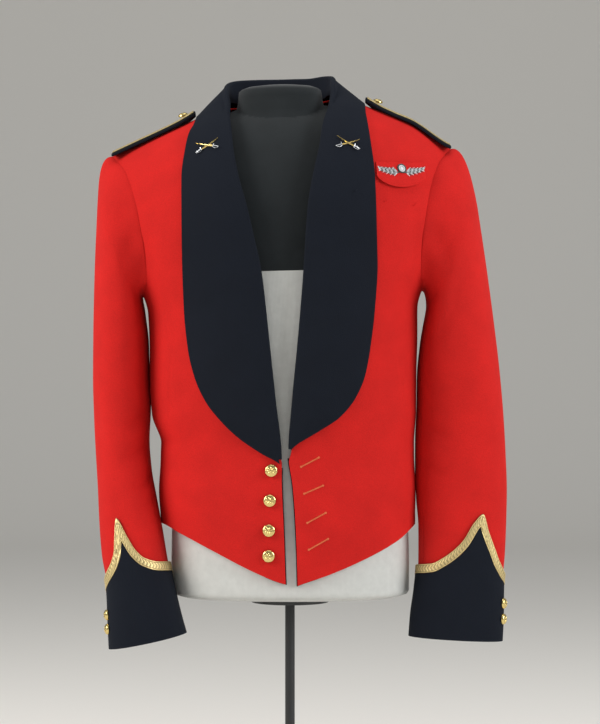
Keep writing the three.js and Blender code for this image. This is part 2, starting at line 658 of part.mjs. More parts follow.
// The collar from the lapel to the middle of the back: middle of the fold, then the outer edge,
// whose height is its drop below the shoulder ridge.
// turned is how far the fold has left the chest for the neck.
const COLLAR = [
  { x: 70, y: -27, z: 965, edgeX: 112, drop: 5, turned: 0.4, stand: 10, face: 'front' },
  { x: 71.5, y: -8, z: 979, edgeX: 111, drop: 0.4, turned: 0.8, stand: 11, face: 'front' },
  { x: 72, y: 12, z: 989, edgeX: 110, drop: 1.1, turned: 1, stand: 18, face: 'back' },
  { x: 69.5, y: 33, z: 996, edgeX: 104, drop: 7.8, turned: 1, stand: 24, face: 'back' },
  { x: 58, y: 54, z: 1001, edgeX: 84, drop: 17, turned: 1, stand: 29, face: 'back' },
  { x: 38, y: 67, z: 1003, edgeX: 53, drop: 27.5, turned: 1, stand: 31, face: 'back' },
  { x: 18, y: 71.5, z: 1003.5, edgeX: 24, drop: 35.6, turned: 1, stand: 32, face: 'back' },
  { x: SEAM, y: 73, z: 1003.5, edgeX: SEAM, drop: 38.7, turned: 1, stand: 32, face: 'back' },
];
const NECK_Y = 12;

const lapelX = { right: column(LAPEL.right, 'z', 'x'), left: column(LAPEL.left, 'z', 'x') };

function collarStations(side) {
  const s = SIDES[side].sign;
  const foot = LAPEL_FOOT[side];
  const stations = [];
  LAPEL_STEPS.forEach((share) => {
    const rollZ = lerp(foot.roll, LAPEL_TOP[side].roll, share);
    const edgeZ = lerp(foot.edge, LAPEL_TOP[side].edge, share);
    const on = onFigure(side, figure(side, 'front', openingX[side](rollZ) + ROLL, rollZ), -ROLL_SINK);
    const edge = figure(side, 'front', lapelX[side](edgeZ), edgeZ);
    stations.push({ centre: on.p, n: on.n, edge, turned: 0, stand: TAIL });
  });
  const chest = stations[stations.length - 1].n;
  COLLAR.forEach((row) => {
    const centre = V(s * row.x, row.y, row.z + bow(side, row.x));
    const away = V(s * row.x, row.y - NECK_Y, 0).normalize();
    const edge = figure(side, row.face, row.edgeX, ridgeZ(side, row.edgeX) - row.drop);
    stations.push({ ...row, centre, n: chest.clone().lerp(away, row.turned), edge });
  });
  stations.forEach((at, i) => {
    const before = stations[Math.max(i - 1, 0)].centre;
    const after = stations[Math.min(i + 1, stations.length - 1)].centre;
    const along = i === stations.length - 1 ? V(-s, 0, 0) : after.clone().sub(before).normalize();
    at.n.addScaledVector(along, -at.n.dot(along)).normalize();
    at.e = along.cross(at.n).multiplyScalar(s);
  });
  return stations;
}

function collar(side) {
  return collarStations(side).map((at) => {
    const row = [];
    const lift = LAPEL_LIFT;
    const top = at.centre.clone().addScaledVector(at.n, ROLL);
    const width = top.distanceTo(at.edge);
    for (let j = 0; j < COLLAR_COLUMNS; j += 1) {
      const t = j / COLLAR_COLUMNS;
      const belly = LAPEL_BELLY * Math.sin(Math.PI * t ** 1.5) * clamp(width / 60, 0, 1);
      const lying = onFigure(side, mix(at.edge, top, t), lift + belly);
      const edge = onFigure(side, at.edge, lift).p;
      const hanging = mix(edge, top, t).addScaledVector(at.n, 3 * Math.sin(Math.PI * t));
      row.push({ p: lying.p.lerp(hanging, at.turned), n: lying.n.lerp(at.n, at.turned * t).normalize() });
    }
    for (let j = 0; j <= ROLL_STEPS; j += 1) {
      const a = (Math.PI * j) / ROLL_STEPS;
      const n = at.n.clone().multiplyScalar(Math.cos(a)).addScaledVector(at.e, -Math.sin(a));
      row.push({ p: at.centre.clone().addScaledVector(n, ROLL), n });
    }
    const last = row[row.length - 1];
    for (let j = 1; j <= 2; j += 1) {
      const end = last.p.clone().addScaledVector(at.e, (at.stand * j) / 2);
      if (at.turned) {
        end.addScaledVector(at.n, -0.12 * at.stand * (j / 2));
        row.push({ p: end, n: last.n });
      } else {
        const on = onFigure(side, end, -ROLL - ROLL_SINK);
        row.push({ p: on.p, n: on.n.negate() });
      }
    }
    return row;
  });
}

for (const side of Object.keys(SIDES)) {
  add(`collar_${side}`, wall(leaned(collar(side)), FACING, { flip: side === 'left' }), NAVY);
}

// Facing: a navy strip inside each front edge, standing a little past it
const FACING_EDGE = 1.3;
const FACING_STRIP = { width: 26, rows: 8, columns: 3, top: { right: 484, left: 496 } };
for (const side of Object.keys(SIDES)) {
  const grid = [];
  for (let i = 0; i <= FACING_STRIP.rows; i += 1) {
    const row = [];
    for (let j = 0; j <= FACING_STRIP.columns; j += 1) {
      const inward = lerp(-FACING_EDGE, FACING_STRIP.width, j / FACING_STRIP.columns);
      let z = 400;
      let x = 0;
      for (let pass = 0; pass < 6; pass += 1) {
        x = openingX[side](z) + inward;
        z = lerp(hemAt[side](Math.max(x, 0)) - 0.6, FACING_STRIP.top[side], i / FACING_STRIP.rows);
      }
      const at = onFigure(side, V(SIDES[side].sign * x, -90, z), -CLOTH - CLEAR);
      row.push(at);
    }
    grid.push(row);
  }
  add(`facing_${side}`, wall(leaned(grid), FACING, { flip: side === 'right' }), NAVY);
}

// Front buttons on the wearer's right front, by height, and their distance from the middle
const FRONT_BUTTONS = [
  { z: 480.5, x: 22.2 }, { z: 441.5, x: 25 }, { z: 402.5, x: 27 }, { z: 369, x: 27.7 },
];
FRONT_BUTTONS.forEach((row, i) => {
  const at = onFigure('right', figure('right', 'front', row.x, row.z), CLEAR);
  add(`front_button_${i + 1}`, stand(button(FRONT_BUTTON), lean(at.p), at.n), GILT);
});

// Pin badges on the lapels: crossed blades on a flat plate, cut as one solid
const BADGE = { reach: 19, blade: 2.4, thick: 1.6, cross: 27, grip: 6.5, guard: 3.2 };
const BADGE_AT = { right: { x: 94.6, z: 903.4 }, left: { x: 86.5, z: 902.3 } };
function crossedBlades() {
  const arms = [-1, 1].map((s) => {
    const blade = new THREE.BoxGeometry(2 * BADGE.reach, BADGE.blade, BADGE.thick);
    const guard = new THREE.BoxGeometry(1.6, BADGE.guard * 2, BADGE.thick);
    guard.translate(-BADGE.reach + BADGE.grip, 0, 0);
    return [blade, guard].map((g) => g.rotateZ(s * rad(BADGE.cross)));
  }).flat();
  return joined(arms).translate(0, 0, BADGE.thick / 2);
}

function solid(geometry) {
  const g = geometry.index ? geometry : geometry.clone();
  const points = g.getAttribute('position');
  const seen = new Map();
  const renamed = [];
  const vertices = [];
  for (let i = 0; i < points.count; i += 1) {
    const at = [points.getX(i), points.getY(i), points.getZ(i)];
    const key = at.map((v) => Math.round(v * 1e4)).join();
    if (!seen.has(key)) {
      seen.set(key, vertices.length / 3);
      vertices.push(...at);
    }
    renamed.push(seen.get(key));
  }
  const order = g.index ? [...g.index.array] : renamed.map((_, i) => i);
  const triVerts = [];
  for (let i = 0; i < order.length; i += 3) {
    const [a, b, c] = [0, 1, 2].map((k) => renamed[order[i + k]]);
    if (a !== b && b !== c && c !== a) triVerts.push(a, b, c);
  }
  return new wasm.Manifold(new wasm.Mesh({
    numProp: 3,
    vertProperties: new Float32Array(vertices),
    triVerts: new Uint32Array(triVerts),
  }));
}

function surfaceOf(manifold) {
  const mesh = manifold.getMesh();
  const geometry = new THREE.BufferGeometry();
  geometry.setAttribute('position', new THREE.Float32BufferAttribute(mesh.vertProperties, 3));
  geometry.setIndex([...mesh.triVerts]);
  return geometry;
}

function joined(geometries) {
  return surfaceOf(geometries.map(solid).reduce((a, b) => a.add(b)));
}

for (const side of Object.keys(SIDES)) {
  const { x, z } = BADGE_AT[side];
  const on = figure(side, 'front', x, z);
  const at = onFigure(side, on, LAPEL_LIFT + LAPEL_BELLY + 0.15);
  add(`lapel_badge_${side}`, stand(crossedBlades(), lean(at.p), at.n), GILT);
}

// Breast patch with a curved lower edge, and an embroidered badge of plain leaves on it
const PATCH = { x: 156.5, z: 855.5, half: 33, up: 25, down: 9.2, bow: 28.8, rows: 4, columns: 8, lift: 2.4 };
const BREAST_BADGE = { z: 869, half: 30, up: 9, rows: 2, columns: 10, thick: 1.6 };
function patchGrid(half, columns, rows, middle, upper, lower, lift) {
  const grid = [];
  for (let i = 0; i <= rows; i += 1) {
    const row = [];
    for (let j = 0; j <= columns; j += 1) {
      const across = lerp(-1, 1, j / columns);
      const z = middle + lerp(-lower(across), upper(across), i / rows);
      row.push(onFigure('left', figure('left', 'front', PATCH.x + across * half, z), lift(i / rows)));
    }
    grid.push(row);
  }
  return leaned(grid);
}
const patchUnder = (u) => PATCH.down - PATCH.bow * (1 - Math.sqrt(1 - 0.75 * u * u));
const patchLift = (t) => CLEAR + 1.2 + PATCH.lift * (1 - t) ** 2;
const patch = patchGrid(
  PATCH.half, PATCH.columns, PATCH.rows, PATCH.z, () => PATCH.up, patchUnder, patchLift,
);
add('breast_patch', wall(patch, 1.2, { flip: false }), SCARLET);
const leaf = (u) => BREAST_BADGE.up * (0.45 + 0.55 * Math.sin(Math.PI * Math.abs(u) ** 0.8));
const badgeLift = () => CLEAR + 1.2 + 0.8 + CLEAR + BREAST_BADGE.thick;
const badge = patchGrid(
  BREAST_BADGE.half, BREAST_BADGE.columns, BREAST_BADGE.rows, BREAST_BADGE.z, leaf, leaf, badgeLift,
);
add('breast_badge', wall(badge, BREAST_BADGE.thick, { flip: false }), SILVER);

// Shoulder boards: a stiff navy plate that springs from the sleeve seam, with two strips of lace
const BOARD = {
  from: 227, to: 115, half: 27, thick: 3.6, laceThick: 1.2, edge: 2.2, middle: 0.9, rows: 9, point: 16,
  curve: 4.5,      // the long edges lie this much lower than the middle
};
// Height of the board's underside over the shoulder ridge, along its length from the sleeve
const BOARD_RISE = [
  { along: 0, right: 1.6, left: 1.6 },
  { along: 0.3, right: 2.2, left: 2 },
  { along: 0.6, right: 2.8, left: 2.2 },
  { along: 0.8, right: 4, left: 3.4 },
  { along: 1, right: 8.5, left: 9 },
];
const boardRise = { right: column(BOARD_RISE, 'along', 'right'), left: column(BOARD_RISE, 'along', 'left') };
function boardGrid(side, inner, outer, lift, insetNeck, insetSleeve) {
  const { from, to } = BOARD;
  const s = SIDES[side].sign;
  const grid = [];
  for (let i = 0; i <= BOARD.rows; i += 1) {
    const t = lerp(insetSleeve, 1 - insetNeck, i / BOARD.rows);
    const row = [];
    const x = lerp(from, to, t);
    // the neck end narrows to a blunt round end
    const past = clamp(1 - ((1 - t) * (from - to)) / BOARD.point, 0, 0.93);
    const round = Math.sqrt(1 - past ** 2);
    [inner, lerp(inner, outer, 1 / 3), lerp(inner, outer, 2 / 3), outer].forEach((across) => {
      const y = RIDGE_Y + across * round;
      const sag = (across / BOARD.half) ** 2 * BOARD.curve;
      const z = ridgeZ(side, x) + boardRise[side](t) - sag + lift;
      const climb = (boardRise[side](Math.min(t + 0.05, 1)) - boardRise[side](Math.max(t - 0.05, 0))) / 0.1;
      const slope = SHOULDER_FALL + climb / (from - to);
      const n = V(s * slope, (across / BOARD.half) * 0.3, 1).normalize();
      row.push({ p: V(s * x, y, z), n });
    });
    grid.push(row);
  }
  return leaned(grid);
}
for (const side of Object.keys(SIDES)) {
  const base = boardGrid(side, -BOARD.half, BOARD.half, BOARD.thick, 0, 0);
  const flip = side === 'right';
  add(`board_${side}`, wall(base, BOARD.thick, { flip }), NAVY);
  const lift = BOARD.thick + 0.8 + BOARD.laceThick;
  const edge = BOARD.half - BOARD.edge;
  const front = boardGrid(side, -edge, -BOARD.middle, lift, 0.02, 0.01);
  const back = boardGrid(side, BOARD.middle, edge, lift, 0.02, 0.01);
  add(`board_lace_front_${side}`, wall(front, BOARD.laceThick, { flip }), GOLD_LACE);
  add(`board_lace_back_${side}`, wall(back, BOARD.laceThick, { flip }), GOLD_LACE);
  const spot = boardGrid(side, -1, 1, lift + 0.8, 0.14, 0)[BOARD.rows][1];
  add(`board_button_${side}`, stand(button(BOARD_BUTTON), spot.p, spot.n), GILT);
}

// The form: a linen torso under a black cover with a short neck, on a flange, a pole and a base
const FORM = [
  { z: 307, half: 150, front: 98, back: 88 },
  { z: 313, half: 160, front: 106, back: 94 },
  { z: 335, half: 160, front: 107, back: 95 },
  { z: 420, half: 158, front: 104, back: 93 },
  { z: 500, half: 152, front: 101, back: 90 },
  { z: 600, half: 160, front: 107, back: 101 },
  { z: 690, half: 166, front: 113, back: 107 },
  { z: 745, half: 172, front: 114, back: 109 },
  { z: 800, half: 184, front: 113, back: 109 },
  { z: 850, half: 206, front: 110, back: 108 },
  { z: 903, half: 226, front: 107, back: 108 },
  { z: 1000, half: 236, front: 104, back: 106 },
];
const FORM_SEAM_Z = 741;
const FORM_SIDES = 36;
const FORM_NECK = { halfX: 57, halfY: 52, y: 2, top: 984, crown: 8 };
const formAt = Object.fromEntries(['half', 'front', 'back'].map((name) => [name, column(FORM, 'z', name)]));

// The cover lies close under the jacket over the shoulder, and lower near the collar
function formRidge(x) {
  return ridgeZ(x < 0 ? 'right' : 'left', x) - CLOTH - 1.2 - 7 * (1 - smooth(118, 150, Math.abs(x)));
}
function formRing(z, sides) {
  const ring = [];
  for (let j = 0; j < sides; j += 1) {
    const a = (2 * Math.PI * j) / sides;
    const [c, f] = [Math.cos(a), Math.sin(a)];
    const r = (Math.abs(c) ** BOXY + Math.abs(f) ** BOXY) ** (-1 / BOXY);
    const reach = f < 0 ? formAt.front(z) : formAt.back(z);
    ring.push({ x: formAt.half(z) * c * r, y: RIDGE_Y + reach * f * r, z });
  }
  return ring;
}

// A closed solid through rings of points, with a flat or pointed cap at each end
function loft(rings) {
  const n = rings[0].length;
  const points = rings.flat();
  const index = [];
  for (let i = 0; i < rings.length - 1; i += 1) {
    for (let j = 0; j < n; j += 1) {
      const [a, b] = [i * n + j, i * n + ((j + 1) % n)];
      index.push(a, b, b + n, a, b + n, a + n);
    }
  }
  [rings[0], rings[rings.length - 1]].forEach((ring, end) => {
    const middle = ring.reduce((sum, p) => sum.add(p), V(0, 0, 0)).divideScalar(n);
    points.push(middle);
    const start = end ? (rings.length - 1) * n : 0;
    for (let j = 0; j < n; j += 1) {
      const [a, b] = [start + j, start + ((j + 1) % n)];
      index.push(points.length - 1, ...(end ? [a, b] : [b, a]));
    }
  });
  const geometry = new THREE.BufferGeometry();
  const flat = points.flatMap((p) => [p.x, p.y, p.z]);
  geometry.setAttribute('position', new THREE.Float32BufferAttribute(flat, 3));
  geometry.setIndex(index);
  return geometry;
}

const TORSO_HEIGHTS = [307, 310, 315, 335, 375, 420, 460, 500, 540, 590, 640, 690, 741];
const torso = TORSO_HEIGHTS.map((z) => formRing(z, FORM_SIDES).map((p) => {
  const low = z === TORSO_HEIGHTS[0] ? 0.94 : 1;
  return lean(V(p.x * low, RIDGE_Y + (p.y - RIDGE_Y) * low, z - (z === FORM_SEAM_Z ? SEAM : 0)));
}));
add('form_torso', loft(torso), LINEN);

// The cover climbs straight to the dome, then over it to the shoulder ridge
const YOKE_RINGS = 9;
const YOKE_TOP_TURN = 0.13;
const FOOT_TURN = (x) => Math.PI / 2 + (formRidge(x) - DOME - FORM_SEAM_Z - SEAM) / DOME;
const yoke = [];
for (let i = 0; i <= YOKE_RINGS; i += 1) {
  const ring = [];
  for (let j = 0; j < FORM_SIDES; j += 1) {
    const a = (2 * Math.PI * j) / FORM_SIDES;
    const [c, f] = [Math.cos(a), Math.sin(a)];
    const r = (Math.abs(c) ** BOXY + Math.abs(f) ** BOXY) ** (-1 / BOXY);
    let z = FORM_SEAM_Z;
    let x = 0;
    let turn = 0;
    for (let pass = 0; pass < 12; pass += 1) {
      x = formAt.half(z) * c * r;
      turn = lerp(FOOT_TURN(x), YOKE_TOP_TURN, i / YOKE_RINGS);
      z = turn > Math.PI / 2 ? formRidge(x) - DOME * (1 + turn - Math.PI / 2)
        : formRidge(x) - DOME * (1 - Math.cos(turn));
    }
    const reach = (f < 0 ? formAt.front(z) : formAt.back(z)) * Math.sin(Math.min(turn, Math.PI / 2));
    ring.push(lean(V(x, RIDGE_Y + reach * f * r, z)));
  }
  yoke.push(ring);
}
const neck = [
  { z: 900, grow: 1.1 }, { z: 958, grow: 1.05 }, { z: 968, grow: 1 }, { z: FORM_NECK.top, grow: 0.97 },
  { z: FORM_NECK.top + 0.8 * FORM_NECK.crown, grow: 0.72 }, { z: FORM_NECK.top + FORM_NECK.crown, grow: 0.3 },
].map(({ z, grow }) => {
  const ring = [];
  for (let j = 0; j < 28; j += 1) {
    const a = (2 * Math.PI * j) / 28;
    ring.push(lean(V(
      FORM_NECK.halfX * grow * Math.cos(a), FORM_NECK.y + FORM_NECK.halfY * grow * Math.sin(a), z,
    )));
  }
  return ring;
});
add('form_cover', joined([loft(yoke), loft(neck)]), BLACK);

const FLANGE = { radius: 52, bottom: 299, top: 306.7 };
const POLE = { radius: 6.5, bottom: 12.3, top: 298.7 };
const BASE = { radius: 150, thick: 12, bevel: 3 };
const turned = (profile, sides) => new THREE.LatheGeometry(
  profile.map(([r, z]) => new THREE.Vector2(r, z)), sides,
).rotateX(Math.PI / 2);
const drum = (radius, bottom, top, bevel) => [
  [0, bottom], [radius, bottom], [radius, top - bevel], [radius - bevel, top], [0, top],
];
add('stand_flange', turned(drum(FLANGE.radius, FLANGE.bottom, FLANGE.top, 1), 28), STEEL);
add('stand_pole', turned(drum(POLE.radius, POLE.bottom, POLE.top, 0.5), 20), STEEL);
add('stand_base', turned(drum(BASE.radius, 0, BASE.thick, BASE.bevel), 48), STEEL);

export default garment;
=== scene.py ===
"""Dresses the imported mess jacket: finer cloth, lace, stitching, badges and finishes over the CAD solids.

The shape functions and tables are those of the part's source, in millimetres, worked out on finer grids.
"""

import math

import bpy
import numpy as np
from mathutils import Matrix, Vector


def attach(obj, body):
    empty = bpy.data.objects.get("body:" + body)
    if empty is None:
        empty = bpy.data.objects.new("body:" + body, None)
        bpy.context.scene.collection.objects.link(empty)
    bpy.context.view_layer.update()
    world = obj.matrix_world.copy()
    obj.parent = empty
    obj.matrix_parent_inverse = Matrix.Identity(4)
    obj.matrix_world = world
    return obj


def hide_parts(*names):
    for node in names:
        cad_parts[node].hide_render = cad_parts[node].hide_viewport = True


bl_info = {
    "name": "Mess jacket dressing",
    "version": (1, 0, 0),
    "blender": (4, 5, 0),
    "location": "View3D > Sidebar > Mess jacket",
    "description": "Builds the cloth, lace, buttons and finishes of a mess jacket on its form",
    "category": "Object",
}

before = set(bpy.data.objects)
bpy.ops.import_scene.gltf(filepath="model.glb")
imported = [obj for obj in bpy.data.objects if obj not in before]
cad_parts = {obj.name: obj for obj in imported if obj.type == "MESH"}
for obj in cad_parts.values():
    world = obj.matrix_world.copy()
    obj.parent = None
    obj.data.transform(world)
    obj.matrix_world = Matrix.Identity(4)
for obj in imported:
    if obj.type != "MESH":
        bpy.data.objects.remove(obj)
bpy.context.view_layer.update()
MM = 0.001

SIGN = {"right": -1, "left": 1}

# The figure that the jacket was cut for: its shoulder ridge, the height over which it domes to the ridge,
# how boxy its sections are, and the lean of the jacket as it hangs
RIDGE_Y = 8
SHOULDER_X = 228
SHOULDER_Z = 903
SHOULDER_FALL = 0.425
SHOULDER_BOW = {"right": 0, "left": 13}
NECK_SOFT = 30
DOME = 170
BOXY = 2.4
LEAN = math.radians(1.3)
LEAN_FOOT = 400
LEAN_FADE = (300, 450)

FIGURE = dict(
    z=(320, 400, 450, 490, 517, 555, 600, 650, 690, 745, 800, 850, 1000),
    right=(168, 172, 175, 172, 171, 182, 184, 183, 184, 203, 221, 231, 240),
    left=(166, 168, 170, 169, 170, 173.5, 174.5, 177, 178, 200, 219, 230, 240),
    front=(112, 114, 113, 111, 112, 116, 121, 125, 127, 129, 129, 127, 122),
    back=(98, 102, 101, 99, 101, 107, 112, 116, 119, 122, 122, 121, 118),
)
ARMHOLE_TURN_Z = 730
ARMHOLE_FOOT_Z = 712
ARMHOLE = dict(
    z=(730, 754, 780, 800, 829, 861, 881, 903),
    front=(181, 182, 184, 187, 192, 201, 209, 228),
    back=(188, 189, 191, 194, 199, 207, 213, 228),
)
SIDE_SEAM = math.pi / 2 + 0.14
SIDE_REACH = 170
NECK_X = 80
BACK_NECK_Z = 965
HEM = dict(
    x=(0, 14, 50, 104, 144, 168, 185),
    right=(330.5, 334, 349, 377, 398, 409, 410),
    left=(325, 331, 343, 365, 385, 402, 408),
)
BACK_HEM_Z = 388
OPENING = dict(
    z=(320, 345, 428, 461, 499, 572, 644, 739, 781, 826, 863, 903, 936, 968),
    right=(4.6, 6, 8.2, 8.8, 8, 14, 20, 28.5, 36.5, 46, 55.4, 62.4, 65.6, 70),
    left=(10.6, 9.8, 7.2, 5.2, 0.6, 7, 15.5, 25.5, 29, 33.5, 40.5, 50, 56, 68),
)
# How far the fronts' edges are set back behind the collar's fold, at the lapel and again at the neck
UNDER_ROLL = 4.0
NECK_BACKING = 9
# Room between layers, thicknesses of the cloths, and half the gap at a seam
CLEAR = 0.8
CLOTH = 2.0
FACING = 1.6
SEAM = 0.2


def lerp(a, b, t):
    return a + (b - a) * t


def smooth(a, b, v):
    """Eases from 0 at a to 1 at b."""
    t = np.clip((v - a) / (b - a), 0, 1)
    return t * t * (3 - 2 * t)


def hermite(start, leave, end, arrive, t):
    """A cubic from start to end, with the slopes that it leaves and arrives at."""
    return (
        (2 * t**3 - 3 * t**2 + 1) * start
        + (t**3 - 2 * t**2 + t) * leave
        + (3 * t**2 - 2 * t**3) * end
        + (t**3 - t**2) * arrive
    )


def curve(table, key, name):
    """A smooth curve with no overshoot through one named column of a table, for arrays."""
    x = np.array(table[key], float)
    y = np.array(table[name], float)
    slope = np.diff(y) / np.diff(x)
    a, b = slope[:-1], slope[1:]
    middle = np.where(a * b <= 0, 0, 2 * a * b / np.where(a + b == 0, 1, a + b))
    tangent = np.concatenate([slope[:1], middle, slope[-1:]])

    def at(value):
        v = np.clip(value, x[0], x[-1])
        i = np.clip(np.searchsorted(x, v, "right") - 1, 0, len(x) - 2)
        h = x[i + 1] - x[i]
        return hermite(y[i], h * tangent[i], y[i + 1], h * tangent[i + 1], (v - x[i]) / h)

    return at


half_width = {s: curve(FIGURE, "z", s) for s in SIGN}
depth = {f: curve(FIGURE, "z", f) for f in ("front", "back")}
armhole_x = {f: curve(ARMHOLE, "z", f) for f in ("front", "back")}
hem_at = {s: curve(HEM, "x", s) for s in SIGN}
opening_x = {s: curve(OPENING, "z", s) for s in SIGN}


def unit(v):
    return v / np.maximum(np.linalg.norm(v, axis=-1, keepdims=True), 1e-9)


def pts(x, y, z):
    return np.stack(np.broadcast_arrays(x, y, z), -1).astype(float)


def bow(side, x):
    return SHOULDER_BOW[side] * smooth(35, 105, np.abs(x)) * (1 - smooth(170, SHOULDER_X, np.abs(x)))


def ridge_z(side, x):
    return SHOULDER_Z + SHOULDER_FALL * (SHOULDER_X - np.hypot(x, NECK_SOFT)) + bow(side, x)


def fullness(share):
    return (1 - np.clip(np.abs(share), 0, 1) ** BOXY) ** (1 / BOXY)


def over_shoulder(side, x, z):
    up = np.clip((z - ridge_z(side, x) + DOME) / DOME, 0, 1)
    return np.sqrt(1 - up * up)


def figure(side, face, x, z):
    """The figure's surface at a distance x from its middle and a height z."""
    out = depth[face](z) * fullness(x / half_width[side](z)) * over_shoulder(side, x, z)
    return pts(SIGN[side] * x, RIDGE_Y + (-out if face == "front" else out), z)


def level(side, p):
    """1 on the figure, more outside it."""
    x, y, z = np.abs(p[..., 0]), p[..., 1], p[..., 2]
    width = half_width[side](z)
    reach = np.where(y < RIDGE_Y, depth["front"](z), depth["back"](z))
    away = np.abs(y - RIDGE_Y) / reach
    up = (z - ridge_z(side, x) + DOME) / DOME
    low = ((x / width) ** BOXY + away**BOXY) ** (1 / BOXY)
    high = np.hypot(away / np.maximum(fullness(x / width), 0.05), up)
    return np.where(up <= 0, low, high)


def normal(side, p):
    e = 0.05 * np.eye(3)
    return unit(np.stack([level(side, p + d) - level(side, p - d) for d in e], -1))


def on_figure(side, p, lift):
    """The figure under a point, raised by lift, and the way out of it there."""
    x, y, z = p[..., 0], p[..., 1], p[..., 2]
    face_y = depth_y(side, p)
    up = (z - ridge_z(side, x) + DOME) / DOME
    scale = level(side, p)
    low = pts(x, face_y, z)
    high = pts(x, RIDGE_Y + (y - RIDGE_Y) / scale, ridge_z(side, x) - DOME + DOME * up / scale)
    base = np.where((up <= 0)[..., None], low, high)
    n = normal(side, base)
    return base + n * np.asarray(lift)[..., None], n


def depth_y(side, p):
    x, z = np.abs(p[..., 0]), p[..., 2]
    out = fullness(x / half_width[side](z)) * over_shoulder(side, x, z)
    front = RIDGE_Y - depth["front"](z) * out
    back = RIDGE_Y + depth["back"](z) * out
    return np.where(p[..., 1] < RIDGE_Y, front, back)


def lean(p):
    """The jacket hangs a little to one side, more from the waist up."""
    a = LEAN * smooth(*LEAN_FADE, p[..., 2])
    dx, dz = p[..., 0], p[..., 2] - LEAN_FOOT
    c, s = np.cos(a), np.sin(a)
    return pts(dx * c - dz * s, p[..., 1], LEAN_FOOT + dx * s + dz * c)


def angle_of(share):
    return np.arctan2(np.clip(share, -1, 1), fullness(share))


def boxy_round(turn, power=BOXY):
    """Cosine and sine of a unit circle that is drawn out to a boxy round."""
    c, s = np.cos(turn), np.sin(turn)
    r = (np.abs(c) ** power + np.abs(s) ** power) ** (-1 / power)
    return c * r, s * r


def around(side, angle, z):
    """The figure's surface by the angle round it, 0 in front and pi at the back, and the height."""
    c, s = boxy_round(angle)
    x = half_width[side](z) * s
    reach = np.where(c >= 0, depth["front"](z), depth["back"](z))
    return pts(SIGN[side] * x, RIDGE_Y - reach * c * over_shoulder(side, x, z), z)


def turn_angle(side, face):
    a = angle_of(armhole_x[face](ARMHOLE_TURN_Z) / half_width[side](ARMHOLE_TURN_Z))
    return a if face == "front" else math.pi - a


def under_arm_z(side, angle):
    turn = np.where(angle < math.pi / 2, turn_angle(side, "front"), turn_angle(side, "back"))
    away = (angle - math.pi / 2) / (turn - math.pi / 2)
    return lerp(ARMHOLE_FOOT_Z, ARMHOLE_TURN_Z, np.minimum(1, away * away))


def hem_z(side, angle):
    x = np.abs(around(side, np.minimum(angle, math.pi / 2), BACK_HEM_Z)[..., 0])
    front = hem_at[side](x)
    behind = lerp(front, BACK_HEM_Z, smooth(math.pi / 2, math.pi, angle))
    return np.where(angle <= math.pi / 2, front, behind)


def inner_angle(side, face, z):
    """Where a panel begins: the front's opening, or the seam at the middle of the back."""
    if face == "back":
        return math.pi - SEAM / half_width[side](z)
    under = UNDER_ROLL * smooth(490, 506, z) + NECK_BACKING * smooth(895, 940, z)
    return angle_of((opening_x[side](z) + under) / half_width[side](z))


def outer_angle(side, face, z):
    """Where a panel ends above the armhole's turn."""
    a = angle_of(armhole_x[face](z) / half_width[side](z))
    return a if face == "front" else math.pi - a


def back_neck_z(side, x):
    return lerp(BACK_NECK_Z, ridge_z(side, NECK_X), smooth(0, NECK_X, x) ** 2)


def upper_point(side, face, share, turn_share):
    """A panel above the armhole's turn: share goes from its inner edge to the armhole, turn_share down."""
    z = lerp(ARMHOLE_TURN_Z, SHOULDER_Z, 1 - turn_share)
    for _ in range(16):
        angle = lerp(inner_angle(side, face, z), outer_angle(side, face, z), share)
        x = np.abs(around(side, angle, z)[..., 0])
        ridge = ridge_z(side, x)
        neck_turn = np.arccos(np.clip(1 - (ridge - back_neck_z(side, x)) / DOME, -1, 1))
        neck_turn = np.where((face == "back") & (x < NECK_X), neck_turn, 0)
        low = ridge - DOME - ARMHOLE_TURN_Z
        foot_turn = np.arccos(np.clip(1 - (ridge - ARMHOLE_TURN_Z) / DOME, -1, 1))
        foot = np.where(low > 0, math.pi / 2 + low / DOME, foot_turn)
        turn = lerp(neck_turn, foot, turn_share)
        straight = ridge - DOME - DOME * (turn - math.pi / 2)
        z = np.where(turn > math.pi / 2, straight, ridge - DOME * (1 - np.cos(turn)))
    return figure(side, face, x, z)


def folds(u, v, rows):
    """Soft folds, each a line on a surface: start, end, height (below 0 is a trough) and width in mm."""
    total = np.zeros(np.broadcast(u, v).shape)
    for u0, v0, u1, v1, high, wide in rows:
        du, dv = u1 - u0, v1 - v0
        along = ((u - u0) * du + (v - v0) * dv) / (du * du + dv * dv)
        t = np.clip(along, 0, 1)
        away = np.hypot(u - u0 - t * du, v - v0 - t * dv)
        total += high * np.exp(-((away / wide) ** 2)) * (0.25 + 0.75 * np.sin(math.pi * np.clip(along, 0, 1)))
    return total


def hexed(code):
    """An sRGB hex colour as linear red, green, blue and alpha."""
    parts = [int(code[i : i + 2], 16) / 255 for i in (0, 2, 4)]
    return [c / 12.92 if c <= 0.04045 else ((c + 0.055) / 1.055) ** 2.4 for c in parts] + [1.0]


def arc(p, axis):
    step = np.linalg.norm(np.diff(p, axis=axis), axis=-1)
    zero = np.zeros_like(np.take(step, [0], axis))
    return np.concatenate([zero, np.cumsum(step, axis=axis)], axis)


def grid_quads(rows, cols, wrap=False):
    """Faces of a grid of points, which wrap closes round its columns."""
    index = np.arange(rows * cols).reshape(rows, cols)
    left, right = (index, np.roll(index, -1, 1)) if wrap else (index[:, :-1], index[:, 1:])
    return np.stack([left[:-1], right[:-1], right[1:], left[1:]], -1).reshape(-1, 4)


